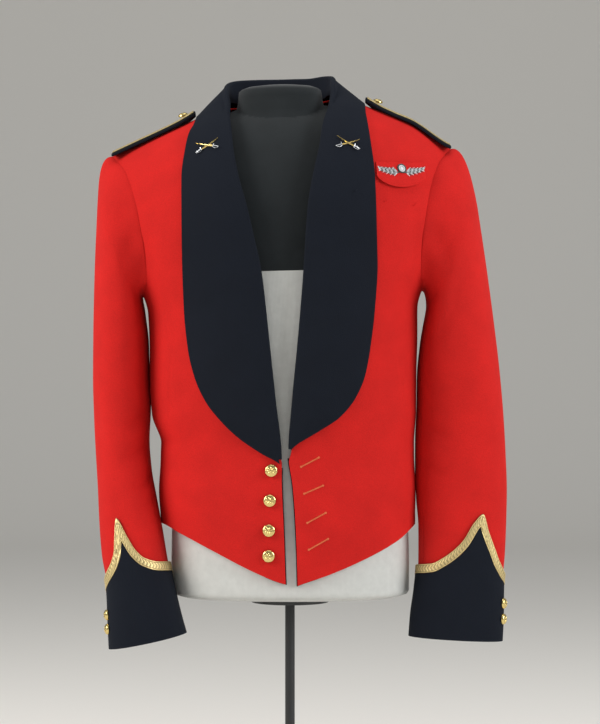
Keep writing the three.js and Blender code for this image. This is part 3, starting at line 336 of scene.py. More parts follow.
def wall_faces(quads, count):
    """Faces of a closed wall: the outer quads, the inner ones count points on, and the rim between."""
    edges = np.concatenate([quads[:, [i, (i + 1) % 4]] for i in range(4)])
    code = edges[:, 0] * count + edges[:, 1]
    back = edges[:, 1] * count + edges[:, 0]
    rim = edges[~np.isin(back, code)]
    rims = np.stack([rim[:, 1], rim[:, 0], rim[:, 0] + count, rim[:, 1] + count], -1)
    return np.concatenate([quads, quads[:, ::-1] + count, rims])


def wall(name, p, n, thick, material, wrap=False, keep=None, flip=False, uv=None, rise=None):
    """A closed wall of cloth over a grid of points p with the outward ways n, in millimetres."""
    rows, cols = p.shape[:2]
    if uv is None:
        uv = np.stack([arc(p, 1), arc(p, 0)], -1)
    count = rows * cols
    quads = grid_quads(rows, cols, wrap)
    if keep is not None:
        quads = quads[keep.reshape(-1)[quads].all(1)]
    faces = wall_faces(quads[:, ::-1] if flip else quads, count)
    thick = np.asarray(thick)
    inner = p - n * (thick[..., None] if thick.ndim else thick)
    points = np.concatenate([p.reshape(-1, 3), inner.reshape(-1, 3)]) * MM
    used = np.unique(faces)
    renumber = np.zeros(2 * count, int)
    renumber[used] = np.arange(len(used))
    flat_uv = np.concatenate([uv.reshape(-1, 2)] * 2)[used]
    piece = mesh_object(name, points[used], renumber[faces], material, flat_uv)
    # rise is the lace's height, which its material turns into painted shade between the cords and painted
    # highlight on them
    if rise is not None:
        layer = piece.data.attributes.new("rise", "FLOAT", "POINT")
        layer.data.foreach_set("value", np.concatenate([rise.reshape(-1)] * 2)[used])
    return piece


def linked(name, data):
    """A new object in the scene."""
    made = bpy.data.objects.new(name, data)
    bpy.context.scene.collection.objects.link(made)
    return made


def mesh_object(name, points, faces, material, uv=None, soft=40):
    """A smooth mesh with sharp edges where it turns by more than soft degrees; points in metres."""
    mesh = bpy.data.meshes.new(name)
    mesh.from_pydata(points.tolist(), [], [tuple(int(i) for i in f) for f in faces])
    if uv is not None:
        layer = mesh.uv_layers.new(name="mm")
        loops = np.zeros(len(mesh.loops), int)
        mesh.loops.foreach_get("vertex_index", loops)
        layer.data.foreach_set("uv", uv[loops].reshape(-1))
    mesh.materials.append(material)
    mesh.shade_smooth()
    mesh.set_sharp_from_angle(angle=math.radians(soft))
    return linked(name, mesh)


def made_plain(piece):
    """Turns what a piece's modifiers make into its own mesh."""
    plain = bpy.data.meshes.new_from_object(piece.evaluated_get(bpy.context.evaluated_depsgraph_get()))
    piece.modifiers.clear()
    piece.data = plain


def tube(line, radius, sides=8, closed=False, up=None):
    """Points and faces of a round tube along a line of points."""
    line = np.asarray(line, float)
    along = unit(np.roll(line, -1, 0) - np.roll(line, 1, 0)) if closed else unit(np.gradient(line, axis=0))
    up = np.array([0.0, 0.0, 1.0]) if up is None else up
    a = unit(np.cross(along, np.broadcast_to(up, along.shape) + 0.001))
    b = np.cross(along, a)
    turn = 2 * math.pi * np.arange(sides) / sides
    radius = np.broadcast_to(radius, len(line))
    ring = a[:, None] * np.cos(turn)[None, :, None] + b[:, None] * np.sin(turn)[None, :, None]
    p = line[:, None] + ring * radius[:, None, None]
    count = len(line) * sides
    faces = (grid_quads(len(line) + closed, sides, wrap=True) % count).tolist()
    if not closed:
        faces += [list(range(sides))[::-1], list(range(count - sides, count))]
    return p.reshape(-1, 3), faces


def loft_faces(rows, cols):
    """Faces of a solid through rings of points, with a fan to one more point at each end."""
    fans = []
    for tip, ring, way in ((rows * cols, 0, -1), (rows * cols + 1, rows - 1, 1)):
        edge = ring * cols + np.arange(cols)
        fans += [[tip, *(pair[::way])] for pair in zip(edge.tolist(), np.roll(edge, -1).tolist())]
    return grid_quads(rows, cols, wrap=True).tolist() + fans


def gather(name, parts, material, soft=40, slots=None):
    """One mesh object from several sets of points and faces, each with its material slot."""
    points, faces, marks = [], [], []
    for i, (p, f) in enumerate(parts):
        faces += [[int(v) + len(points) for v in face] for face in f]
        marks += [slots[i] if slots else 0] * len(f)
        points += list(np.asarray(p) * MM)
    materials = material if isinstance(material, list) else [material]
    piece = mesh_object(name, np.array(points), faces, materials[0], soft=soft)
    for extra in materials[1:]:
        piece.data.materials.append(extra)
    piece.data.polygons.foreach_set("material_index", marks)
    return piece


# Sleeves: rings between an outer and an inner line, as in the part's source
SLEEVE = {
    "right": dict(
        outX=(258.5, 262, 264, 264.6, 263, 260.5, 257, 254, 249.3, 240, 237.4, 235.6),
        outZ=(825, 745, 665, 600, 545, 500, 455, 410, 365, 320, 280, 244),
        inX=(195, 190, 189, 187.3, 189, 186, 178.5, 170.5, 162.5, 153.5, 145, 138.5),
        inZ=(688, 645, 602, 560, 518, 478, 440, 402, 360, 320, 287, 264.5),
        deep=(80, 79, 76, 71, 67, 65, 62, 57, 52, 46, 42, 40),
        y=(6, 7, 8, 8, 6, 2, -10, -24, -40, -54, -63, -68),
    ),
    "left": dict(
        outX=(252.7, 263, 274, 282, 287, 289.6, 290.8, 289.4, 286.8, 282.4, 281.4, 280),
        outZ=(823, 755, 675, 608, 550, 500, 455, 410, 365, 322, 283, 251),
        inX=(182.5, 175, 170.8, 170.3, 168.4, 168, 169, 171.8, 171.4, 167.5, 162.5, 160.4),
        inZ=(688, 645, 600, 560, 520, 480, 441, 401, 358, 320, 286, 257.5),
        deep=(76, 74, 69, 61, 54, 51, 48, 44, 40, 35, 31, 29),
        y=(6, 7, 8, 8, 6, 2, -5, -14, -23, -31, -36, -38),
    ),
}
RINGS = 12
ARMHOLE_HALF = dict(deep=76, high=96)
# How strongly the cloth leaves the armhole, at its foot and its top, and the gap left at that seam
HEAD_PUSH = (12, 58)
HEAD_GAP = 0.9
HEAD_LIFT = {"right": -2, "left": 14}
SLEEVE_BOXY = 2.15
# Degrees round the sleeve between its two seams, half the gap at them, and the sleeve's radius there
TOP_SLEEVE = (-62, 152)
UNDER_SLEEVE = (152, 298)
SLEEVE_SEAM = 0.3
SLEEVE_ROUND = 62


def armhole(side):
    def edge(face, z):
        if z > SHOULDER_Z - 0.01:
            return np.array([SIGN[side] * SHOULDER_X, RIDGE_Y, SHOULDER_Z], float)
        return figure(side, face, armhole_x[face](z), z)

    run = [lerp(SHOULDER_Z, ARMHOLE_TURN_Z, (i / 60) ** 1.5) for i in range(61)]
    loop = [edge("front", z) for z in run]
    for i in range(1, 30):
        angle = lerp(turn_angle(side, "front"), turn_angle(side, "back"), i / 30)
        loop.append(around(side, angle, under_arm_z(side, angle)))
    loop += [edge("back", z) for z in run[:0:-1]]
    loop = np.array(loop)
    middle = (SHOULDER_Z + ARMHOLE_FOOT_Z) / 2
    forwards = (RIDGE_Y - loop[:, 1]) / ARMHOLE_HALF["deep"]
    upwards = (loop[:, 2] - middle) / ARMHOLE_HALF["high"]
    turn = np.unwrap(np.arctan2(forwards, upwards))
    return lean(loop), turn


def sleeve_tools(side):
    ring = np.arange(1, RINGS + 1)
    table = dict(SLEEVE[side], ring=ring)
    at = {name: curve(table, "ring", name) for name in SLEEVE[side]}
    loop, turns = armhole(side)
    sign = SIGN[side]

    def head(turn):
        full = 2 * math.pi
        t = np.mod(turn - turns[0], full) + turns[0]
        ends = np.append(turns, turns[0] + full)
        ring = np.concatenate([loop, loop[:1]])
        found = np.stack([np.interp(t, ends, ring[:, k]) for k in range(3)], -1)
        return found + np.array([sign * HEAD_GAP, 0, 0])

    def section(r, turn):
        outwards, forwards = boxy_round(turn, SLEEVE_BOXY)
        share = (1 + outwards) / 2
        return pts(
            sign * lerp(at["inX"](r), at["outX"](r), share),
            at["y"](r) - forwards * at["deep"](r),
            lerp(at["inZ"](r), at["outZ"](r), share),
        )

    def point(ring, turn):
        ring, turn = np.broadcast_arrays(np.asarray(ring, float), turn)
        start, end = head(turn), section(np.ones_like(ring), turn)
        top = (1 + np.cos(turn)) / 2
        leave = pts(sign * lerp(*HEAD_PUSH, top), 0, HEAD_LIFT[side] * top)
        gap = np.linalg.norm(start - end, axis=-1, keepdims=True)
        arrive = unit(section(np.full_like(ring, 1.2), turn) - end) * gap * 1.1
        cap = hermite(start, leave, end, arrive, np.clip(ring, 0, 1)[..., None])
        return np.where((ring >= 1)[..., None], section(np.maximum(ring, 1), turn), cap)

    return point


sleeve_point = {s: sleeve_tools(s) for s in SIGN}


def on_sleeve(side, ring, turn, lift=0.0):
    e = 0.02
    ring = np.asarray(ring, float)
    point = sleeve_point[side]
    along = point(np.minimum(ring + e, RINGS), turn) - point(np.maximum(ring - e, 0), turn)
    turned = point(ring, turn + e) - point(ring, turn - e)
    n = unit(np.cross(turned, along)) * SIGN[side]
    p = point(ring, turn)
    return p + n * np.asarray(lift)[..., None], n


def ring_at(side, turn, z):
    """The ring of the sleeve that is at height z, at an angle round it."""
    turn, z = np.broadcast_arrays(np.asarray(turn, float), np.asarray(z, float))
    lo, hi = np.ones(turn.shape), np.full(turn.shape, float(RINGS))
    for _ in range(30):
        mid = (lo + hi) / 2
        above = sleeve_point[side](mid, turn)[..., 2] > z
        lo, hi = np.where(above, mid, lo), np.where(above, hi, mid)
    return (lo + hi) / 2


# Creases of the sleeves: degrees round (0 outside, 90 in front) and height, then height and width in mm
SLEEVE_FOLDS = {
    "right": [
        (150, 560, 105, 532, -2.6, 6), (152, 535, 112, 518, 1.6, 6), (156, 512, 96, 492, -3.0, 6.5),
        (160, 490, 112, 474, 1.8, 6), (165, 468, 104, 452, -2.4, 6), (160, 440, 118, 430, -1.6, 6),
        (30, 560, 62, 500, -1.6, 14), (60, 880, 82, 800, -2.4, 9), (100, 860, 104, 740, -2.6, 10),
        (-40, 540, -85, 500, -2.2, 8), (-50, 500, -95, 470, -2.4, 7), (230, 560, 200, 500, -2.0, 9),
    ],
    "left": [
        (60, 840, 96, 806, -2.2, 7), (70, 800, 110, 760, -2.4, 8), (58, 742, 104, 700, -2.0, 9),
        (84, 700, 124, 650, -1.8, 9), (150, 545, 108, 520, -2.0, 7), (155, 520, 118, 500, 1.2, 6),
        (40, 530, 84, 512, -1.8, 7), (150, 488, 112, 470, -1.8, 7), (100, 860, 104, 740, -3.2, 11),
        (-40, 540, -85, 500, -2.2, 8), (-50, 500, -95, 470, -2.4, 7), (230, 560, 200, 500, -2.0, 9),
    ],
}


def sleeve_relief(side, ring, turn):
    """The creases, where a degree round the sleeve counts as a millimetre, and a turn more is the same."""
    z = sleeve_point[side](ring, turn)[..., 2]
    total = sum(folds(np.degrees(turn) + shift, z, SLEEVE_FOLDS[side]) for shift in (360, 0, -360))
    return total * smooth(0, 0.5, ring)


# Upper line of the gold lace on each cuff, by degrees round the sleeve
CUFF_LINE = {
    "right": dict(
        turn=(-100, -50, -10, 14, 32, 49, 60, 71, 87, 97, 110, 128, 150, 180, 220, 260),
        z=(325, 324, 328, 335, 344, 356, 371, 416, 392, 376, 365, 359.7, 358, 356, 342, 325),
    ),
    "left": dict(
        turn=(-100, -50, -10, 18, 38, 48, 58, 66, 77, 91, 103, 116, 132, 180, 220, 260),
        z=(332, 331, 335, 343, 359, 376, 397, 420, 410, 386, 373, 363, 355, 350.6, 341, 332),
    ),
}
cuff_line = {s: curve(CUFF_LINE[s], "turn", "z") for s in SIGN}
CUFF_PEAK = {"right": 71, "left": 66}
# The lace's width down the sleeve and round it, how high its cords stand, and the share of a ring
# that is left open between the lace and the cuff
LACE_DOWN, LACE_ROUND = 12.4, 9.4
LACE_CORD = 0.75
LACE_GAP = 0.012
CUFF_EASE = 0.55
CUFF_PROUD = CLEAR + CUFF_EASE + FACING
# The crease at the cuff's opening, in degrees round the sleeve
CUFF_OPENING = 372


def lace_top(side, degrees):
    degrees = np.mod(degrees, 360)
    return cuff_line[side](np.where(degrees > 260, degrees - 360, degrees))


def lace_foot(side, degrees):
    """The lower line follows the upper one at the lace's width, so it comes to a mitre."""
    ring = ring_at(side, np.radians(degrees), lace_top(side, degrees))
    a, b = (on_sleeve(side, ring, np.radians(degrees + d))[0] for d in (-3, 3))
    per_degree = np.linalg.norm(b - a, axis=-1) / 6
    foot = np.inf
    for share in np.linspace(-1, 1, 25):
        over = lace_top(side, degrees + LACE_ROUND * share / per_degree)
        foot = np.minimum(foot, over - LACE_DOWN * math.sqrt(1 - share**2))
    return foot


# The shawl collar
LAPEL = {
    "right": dict(
        z=(487, 493, 500, 509.2, 523, 546, 571, 603, 640, 692, 757, 809.5, 866, 905, 925, 939.5),
        x=(8.6, 16.4, 29.1, 43.2, 62, 85, 104, 118, 126, 130, 131, 130.5, 130, 125, 120.6, 113),
    ),
    "left": dict(
        z=(503, 507, 513.4, 521.2, 531.9, 549, 573, 602, 641, 693, 751.5, 804, 860, 906, 940, 958),
        x=(1.6, 4.4, 11.1, 24.1, 42.7, 69, 89, 102, 110, 117, 121.5, 121.5, 121, 117, 113, 110),
    ),
}
# The lapel's height over the front at its edge and the swell between edge and fold; the fold's radius
# and how far its middle lies under the front's face
LAPEL_LIFT = 3.1
LAPEL_BELLY = 3.5
ROLL = 4.05
ROLL_SINK = 0.95
LAPEL_FOOT = {"right": (495, 488.6), "left": (508, 504.4)}
LAPEL_TOP = {"right": (948, 936), "left": (952, 946)}
# How far the collar runs on inside past the fold, and the middle of the neck
TAIL = 15
NECK_Y = 12
# Round the neck: the fold, the outer edge's x and its drop below the shoulder ridge, how far the collar is
# turned upright, and the stand's depth
COLLAR = dict(
    x=(70, 71.5, 72, 69.5, 58, 38, 18, SEAM),
    y=(-27, -8, 12, 33, 54, 67, 71.5, 73),
    z=(965, 979, 989, 996, 1001, 1003, 1003.5, 1003.5),
    edgeX=(112, 111, 110, 104, 84, 53, 24, SEAM),
    drop=(5, 0.4, 1.1, 7.8, 17, 27.5, 35.6, 38.7),
    turned=(0.4, 0.8, 1, 1, 1, 1, 1, 1),
    stand=(10, 11, 18, 24, 29, 31, 32, 32),
)
lapel_x = {s: curve(LAPEL[s], "z", "x") for s in SIGN}


def collar_stations(side, lapel_rows, neck_steps):
    """Middle of the fold, its outward way, the outer edge, how far turned, and the stand's depth."""
    s = SIGN[side]
    share = np.linspace(0, 1, lapel_rows + 1)
    share = lerp(share**1.7, 1 - (1 - share) ** 1.25, share)
    roll_z = lerp(LAPEL_FOOT[side][0], LAPEL_TOP[side][0], share)
    edge_z = lerp(LAPEL_FOOT[side][1], LAPEL_TOP[side][1], share)
    roll = figure(side, "front", opening_x[side](roll_z) + ROLL, roll_z)
    centre, n = on_figure(side, roll, np.full(len(share), -ROLL_SINK))
    edge = figure(side, "front", lapel_x[side](edge_z), edge_z)
    x, edge_x = np.array(COLLAR["x"]), np.array(COLLAR["edgeX"])
    neck = pts(s * x, np.array(COLLAR["y"]), np.array(COLLAR["z"]) + bow(side, x))
    neck_edge_z = ridge_z(side, edge_x) - np.array(COLLAR["drop"])
    fronts = figure(side, "front", edge_x, neck_edge_z)
    backs = figure(side, "back", edge_x, neck_edge_z)
    neck_edge = np.where((np.arange(len(x)) < 2)[:, None], fronts, backs)
    away = unit(pts(s * x, neck[:, 1] - NECK_Y, 0))
    turned = np.array(COLLAR["turned"])
    neck_n = lerp(n[-1], away, turned[:, None])
    # a finer run of stations through the neck ones, by how far along the fold they lie
    keys = np.concatenate([centre[-3:], neck])
    along = np.concatenate([[0], np.cumsum(np.linalg.norm(np.diff(keys, axis=0), axis=1))])
    edges, ways = np.concatenate([edge[-3:], neck_edge]), np.concatenate([n[-3:], neck_n])
    amounts = np.stack([[0] * 3 + list(turned), [TAIL] * 3 + list(COLLAR["stand"])], 1)
    table = np.concatenate([keys, edges, ways, amounts], 1)
    fine = np.linspace(along[2], along[-1], len(x) * neck_steps + 1)[1:]
    columns = [curve(dict(a=along, b=table[:, k]), "a", "b")(fine) for k in range(table.shape[1])]
    lapel_amounts = np.tile([0.0, TAIL], (len(share), 1))
    whole = np.concatenate([np.concatenate([centre, edge, n, lapel_amounts], 1), np.stack(columns, 1)])
    centre, edge, n, turned, stand = whole[:, :3], whole[:, 3:6], whole[:, 6:9], whole[:, 9], whole[:, 10]
    way = unit(np.gradient(centre, axis=0))
    way[-1] = (-s, 0, 0)
    n = unit(n - way * (n * way).sum(1, keepdims=True))
    e = np.cross(way, n) * s
    return centre, edge, n, e, turned, stand


def collar_grid(side, lapel_rows=128, neck_steps=8, across=34, roll_steps=12, tail_steps=6):
    """From the outer edge over the lapel, round the fold and down the stand, at each station."""
    centre, edge, n, e, turned, stand = collar_stations(side, lapel_rows, neck_steps)
    top = centre + n * ROLL
    width = np.linalg.norm(top - edge, axis=1)
    rows_p, rows_n = [], []
    edge_on, _ = on_figure(side, edge, np.full(len(edge), LAPEL_LIFT))
    for t in np.linspace(0, 1, across, endpoint=False):
        belly = LAPEL_BELLY * math.sin(math.pi * t**1.5) * np.clip(width / 60, 0, 1)
        lying, ln = on_figure(side, lerp(edge, top, t), LAPEL_LIFT + belly)
        hanging = lerp(edge_on, top, t) + n * 3 * math.sin(math.pi * t)
        w = turned[:, None]
        rows_p.append(lerp(lying, hanging, w))
        rows_n.append(unit(lerp(ln, n, w * t)))
    for a in np.linspace(0, math.pi, roll_steps + 1):
        m = n * math.cos(a) - e * math.sin(a)
        rows_p.append(centre + m * ROLL)
        rows_n.append(m)
    last, last_n = rows_p[-1], rows_n[-1]
    for t in np.linspace(0, 1, tail_steps + 1)[1:]:
        end = last + e * (stand * t)[:, None]
        flat, fn = on_figure(side, end, np.full(len(end), -ROLL - ROLL_SINK))
        upright = end - n * (0.12 * stand * t)[:, None]
        w = np.minimum(turned * 4, 1)[:, None]
        rows_p.append(lerp(flat, upright, w))
        rows_n.append(unit(lerp(-fn, last_n, w)))
    return lean(np.stack(rows_p, 1)), np.stack(rows_n, 1)


# Finishes. Every pattern is sized in real millimetres.
def add_node(tree, kind, inputs=None, **settings):
    """Adds one shader node; an input is a value, or another node's output to link."""
    node = tree.nodes.new(kind)
    for key, value in settings.items():
        setattr(node, key, value)
    for key, value in (inputs or {}).items():
        if isinstance(value, bpy.types.NodeSocket):
            tree.links.new(value, node.inputs[key])
        else:
            node.inputs[key].default_value = value
    return node


def material(name, colour, pattern, **sockets):
    """A material on the principled shader, made once.

    pattern(tree, at) gives the factors that change the colour, each with the least and most that it
    multiplies by, and then the relief: its height, its depth in millimetres and its strength.
    """
    made = bpy.data.materials.get(name)
    if made:
        return made
    made = bpy.data.materials.new(name)
    made.use_nodes = True
    made.diffuse_color = colour
    tree = made.node_tree
    face = next(n for n in tree.nodes if n.type == "BSDF_PRINCIPLED")
    face.inputs["Base Color"].default_value = colour
    for key, value in sockets.items():
        face.inputs[key.replace("_", " ")].default_value = value
    if pattern is None:
        return made
    at = add_node(tree, "ShaderNodeTexCoord").outputs["Object"]
    changes, (height, deep_mm, strength) = pattern(tree, at)
    shown = tuple(colour)[:3]
    for factor, least, most in changes:
        span = add_node(tree, "ShaderNodeMapRange", {"Value": factor, "To Min": least, "To Max": most})
        scaled = {0: shown, "Scale": span.outputs["Result"]}
        shown = add_node(tree, "ShaderNodeVectorMath", scaled, operation="SCALE").outputs["Vector"]
    tree.links.new(shown, face.inputs["Base Color"])
    relief = {"Height": height, "Distance": deep_mm * MM, "Strength": strength}
    tree.links.new(add_node(tree, "ShaderNodeBump", relief).outputs["Normal"], face.inputs["Normal"])
    return made


def per_mm(size):
    return 1 / (size * MM)


def milled_wool(name, colour, sheen):
    # Doeskin: milled until a short nap hides the weave, so it is matt, soft at the edges and faintly mottled.
    # The nap, finer on the real cloth, is drawn at 1.1 mm so that it shows.
    def nap_and_mottle(tree, at):
        nap = add_node(tree, "ShaderNodeTexNoise", {"Vector": at, "Scale": per_mm(1.1), "Detail": 4.0})
        mottle = add_node(tree, "ShaderNodeTexNoise", {"Vector": at, "Scale": per_mm(38), "Detail": 2.0})
        changes = (nap.outputs["Fac"], 0.74, 1.26), (mottle.outputs["Fac"], 0.86, 1.14)
        return changes, (nap.outputs["Fac"], 0.35, 0.7)

    return material(
        name, colour, nap_and_mottle, Roughness=0.9, Sheen_Weight=sheen, Sheen_Roughness=0.4,
        Sheen_Tint=colour, Specular_IOR_Level=0.2,
    )


def plain_linen(name, colour):
    # Plain weave of uneven flax threads, 0.7 mm apart, drawn at 1.4 mm so that it shows
    def weave_and_slubs(tree, at):
        uv = add_node(tree, "ShaderNodeUVMap", uv_map="mm").outputs["UV"]
        # a wave texture takes the sine of 20 times its scaled coordinate
        pitch = math.tau / (20 * 1.4)
        warp = add_node(tree, "ShaderNodeTexWave", {"Vector": uv, "Scale": pitch}, bands_direction="X")
        weft = add_node(tree, "ShaderNodeTexWave", {"Vector": uv, "Scale": pitch}, bands_direction="Y")
        threads = {0: warp.outputs["Fac"], 1: weft.outputs["Fac"]}
        both = add_node(tree, "ShaderNodeMath", threads, operation="MULTIPLY").outputs["Value"]
        slub = add_node(tree, "ShaderNodeTexNoise", {"Vector": at, "Scale": per_mm(9), "Detail": 5.0})
        return ((both, 0.9, 1.05), (slub.outputs["Fac"], 0.9, 1.1)), (both, 0.2, 0.5)

    return material(name, colour, weave_and_slubs, Roughness=0.86, Sheen_Weight=0.1, Specular_IOR_Level=0.3)


def knit_jersey(name, colour):
    # Fine black knit over the form's shoulders, dull, with lint; its 0.6 mm stitches are drawn at 1 mm
    def knit_and_lint(tree, at):
        knit = add_node(tree, "ShaderNodeTexNoise", {"Vector": at, "Scale": per_mm(1.0), "Detail": 3.0})
        lint = add_node(tree, "ShaderNodeTexNoise", {"Vector": at, "Scale": per_mm(26)})
        changes = (knit.outputs["Fac"], 0.8, 1.25), (lint.outputs["Fac"], 0.8, 1.2)
        return changes, (knit.outputs["Fac"], 0.25, 0.5)

    return material(name, colour, knit_and_lint, Roughness=0.93, Sheen_Weight=0.15, Specular_IOR_Level=0.2)


def wire_lace(name, colour, rough):
    # Gilt wire wound on silk, with a broken metal shine. Its colour is painted brighter on the cords and
    # darker between them by their height: painted highlight and painted shade.
    # The wire's 0.3 mm turns are drawn at 0.8 mm so that they show.
    def wound_wire(tree, at):
        thread = add_node(tree, "ShaderNodeTexNoise", {"Vector": at, "Scale": per_mm(0.8), "Detail": 2.0})
        wear = add_node(tree, "ShaderNodeTexNoise", {"Vector": at, "Scale": per_mm(12), "Detail": 3.0})
        rise = add_node(tree, "ShaderNodeAttribute", attribute_name="rise")
        changes = [(thread.outputs["Fac"], 0.8, 1.15), (wear.outputs["Fac"], 0.9, 1.08)]
        # the cords' height darkens the colour between them (painted shade) and lightens it on them (painted
        # highlight)
        changes.append((rise.outputs["Fac"], 0.12, 1.15))
        return changes, (thread.outputs["Fac"], 0.25, 0.8)

    return material(name, colour, wound_wire, Roughness=rough, Metallic=0.62)


def plated(name, colour, rough):
    # Die-struck brass, gilt or silvered and lightly handled
    def handling(tree, at):
        worn = add_node(tree, "ShaderNodeTexNoise", {"Vector": at, "Scale": per_mm(5), "Detail": 3.0})
        return ((worn.outputs["Fac"], 0.86, 1.08),), (worn.outputs["Fac"], 0.06, 0.4)

    return material(name, colour, handling, Roughness=rough, Metallic=1.0)


def silk_thread(name, colour):
    # Embroidery silk laid side by side, each thread 0.5 mm, drawn at 0.9 mm so that it shows
    def laid_threads(tree, at):
        lay = add_node(tree, "ShaderNodeTexNoise", {"Vector": at, "Scale": per_mm(0.9), "Detail": 2.0})
        return ((lay.outputs["Fac"], 0.75, 1.2),), (lay.outputs["Fac"], 0.25, 0.8)

    return material(name, colour, laid_threads, Roughness=0.5, Sheen_Weight=0.25)


def satin_paint(name, colour):
    # Turned and pressed steel under dark satin paint, with a faint orange peel
    def peel_and_dust(tree, at):
        peel = add_node(tree, "ShaderNodeTexNoise", {"Vector": at, "Scale": per_mm(1.6), "Detail": 2.0})
        dust = add_node(tree, "ShaderNodeTexNoise", {"Vector": at, "Scale": per_mm(34), "Detail": 3.0})
        return ((dust.outputs["Fac"], 0.88, 1.15),), (peel.outputs["Fac"], 0.04, 0.4)

    return material(name, colour, peel_and_dust, Roughness=0.4)


def length(name, description, default_mm, least, most):
    return bpy.props.FloatProperty(
        name=name, description=description, default=default_mm * MM, min=least * MM, max=most * MM,
        unit="LENGTH", precision=4,
    )


def colour(name, description, code):
    return bpy.props.FloatVectorProperty(
        name=name, description=description, default=hexed(code), size=4, min=0, max=1, subtype="COLOR"
    )


class JacketSettings(bpy.types.PropertyGroup):
    """Sizes and colours of the jacket and its form"""

    cloth: length("Cloth", "Thickness of the scarlet cloth with its lining", 2.0, 1, 3)
    facing_cloth: length("Facing cloth", "Thickness of the collar, cuffs and facings", 1.6, 1, 2)
    lace_pitch: length("Lace pitch", "Length of one slanting rib of the lace", 5.0, 2, 8)
    stitch_gap: length("Stitch gap", "Distance from one buttonhole stitch to the next", 0.75, 0.4, 2)
    scarlet: colour("Scarlet", "The jacket's cloth", "C81E1A")
    navy: colour("Navy", "Collar, cuffs and boards", "10151F")
    twist: colour("Twist", "Silk of the buttonholes", "E0703C")
    gold: colour("Gold", "Lace of the cuffs and boards", "E6CF92")
    gilt: colour("Gilt", "Buttons and blades", "E2CA84")
    silver: colour("Silver", "Hilts of the badges", "DCDEE0")
    silk: colour("White silk", "Light part of the embroidery", "D9DBDD")
    green: colour("Green silk", "Dark part of the embroidery", "1E3330")
    linen: colour("Linen", "The form", "D2D3CF")
    cover: colour("Cover", "Jersey over the form's shoulders", "1D2123")
    steel: colour("Steel", "Flange, pole and base", "2A2B2C")
    floor: colour("Floor", "Floor and backdrop", "F2EFE9")


def kit():
    return bpy.context.scene.mess_jacket


def scarlet():
    return milled_wool("scarlet milled wool", kit().scarlet, 0.3)


def navy():
    return milled_wool("navy milled wool", kit().navy, 0.15)


def gilt():
    return plated("gilt brass", kit().gilt, 0.24)


def gold_lace():
    return wire_lace("gold wire lace", kit().gold, 0.42)


def settle(piece, slot, *nodes):
    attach(piece, "root")
    if nodes:
        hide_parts(*nodes)
    return piece


def cut(p, keep=None, wrap=False):
    """Works out the flat size of the cloth that shows over its grid of points; the sizes are not kept or
    shown.
    """
    grid = np.concatenate([p, p[:, :1]], 1) if wrap else p
    a, b = grid[1:, :-1] - grid[:-1, :-1], grid[:-1, 1:] - grid[:-1, :-1]
    c, d = grid[1:, :-1] - grid[1:, 1:], grid[:-1, 1:] - grid[1:, 1:]
    patch = (np.linalg.norm(np.cross(a, b), axis=-1) + np.linalg.norm(np.cross(c, d), axis=-1)) / 2
    if keep is not None:
        patch = patch * (keep[1:, :-1] & keep[:-1, 1:] & keep[1:, 1:] & keep[:-1, :-1])
    across, along = float(arc(grid, 1).max()) * MM, float(arc(grid, 0).max()) * MM


PANEL_FOLDS = {
    "right": [
        (178, 806, 173, 738, -2.2, 9), (150, 637, 158, 540, -0.9, 1.8), (60, 470, 130, 492, -0.8, 12),
        (70, 430, 150, 470, 0.8, 14), (165, 560, 120, 600, -1.4, 12), (172, 520, 140, 516, -1.6, 8),
    ],
    "left": [
        (176, 812, 171, 742, -3.0, 10), (147, 637, 158, 540, -0.9, 1.8), (60, 474, 130, 496, -0.8, 12),
        (70, 434, 150, 470, 0.8, 14), (168, 560, 130, 600, -1.2, 12), (168, 512, 140, 514, -1.2, 8),
        (196, 880, 186, 836, -1.6, 8),
    ],
}
BACK_FOLDS = [
    (176, 812, 170, 742, -3.0, 11), (60, 520, 0, 500, -1.8, 12), (150, 560, 70, 520, -1.8, 12),
    (165, 520, 100, 500, 1.2, 10), (120, 900, 60, 860, -1.0, 14),
]


def panel_grid(side, face, inner_columns=66, side_columns=20, lower_rows=88, upper_rows=66):
    """A front or back: one grid below the armhole's turn, and one above it that ends at the armhole."""
    turn = turn_angle(side, face)
    seam = SIDE_SEAM + (-SEAM if face == "front" else SEAM) / SIDE_REACH
    share = np.append(np.linspace(0, 1, inner_columns + 1), np.linspace(1, 2, side_columns + 1)[1:])
    rise = np.linspace(0, 1, lower_rows + 1)[:, None]
    share = np.broadcast_to(share, (lower_rows + 1, len(share)))
    z = np.full(share.shape, float(ARMHOLE_TURN_Z))
    for _ in range(8):
        inside = lerp(inner_angle(side, face, z), turn, share)
        angle = np.where(share <= 1, inside, lerp(turn, seam, share - 1))
        top = np.where(share <= 1, ARMHOLE_TURN_Z, under_arm_z(side, angle))
        z = lerp(hem_z(side, angle), top, rise)
    low = around(side, angle, z)
    up_share = np.clip(share[:1], 0, 1)
    rise = np.linspace(0, 1, upper_rows + 1)[1:, None]
    up_share = np.broadcast_to(up_share, (upper_rows, up_share.shape[1]))
    high = upper_point(side, face, up_share, 1 - rise)
    p = np.concatenate([low, high])
    keep = np.ones(p.shape[:2], bool)
    keep[lower_rows + 1 :, inner_columns + 1 :] = False
    n = normal(side, p)
    p[-1, : inner_columns + 1, 1] = RIDGE_Y + (-SEAM if face == "front" else SEAM)
    return p, n, keep


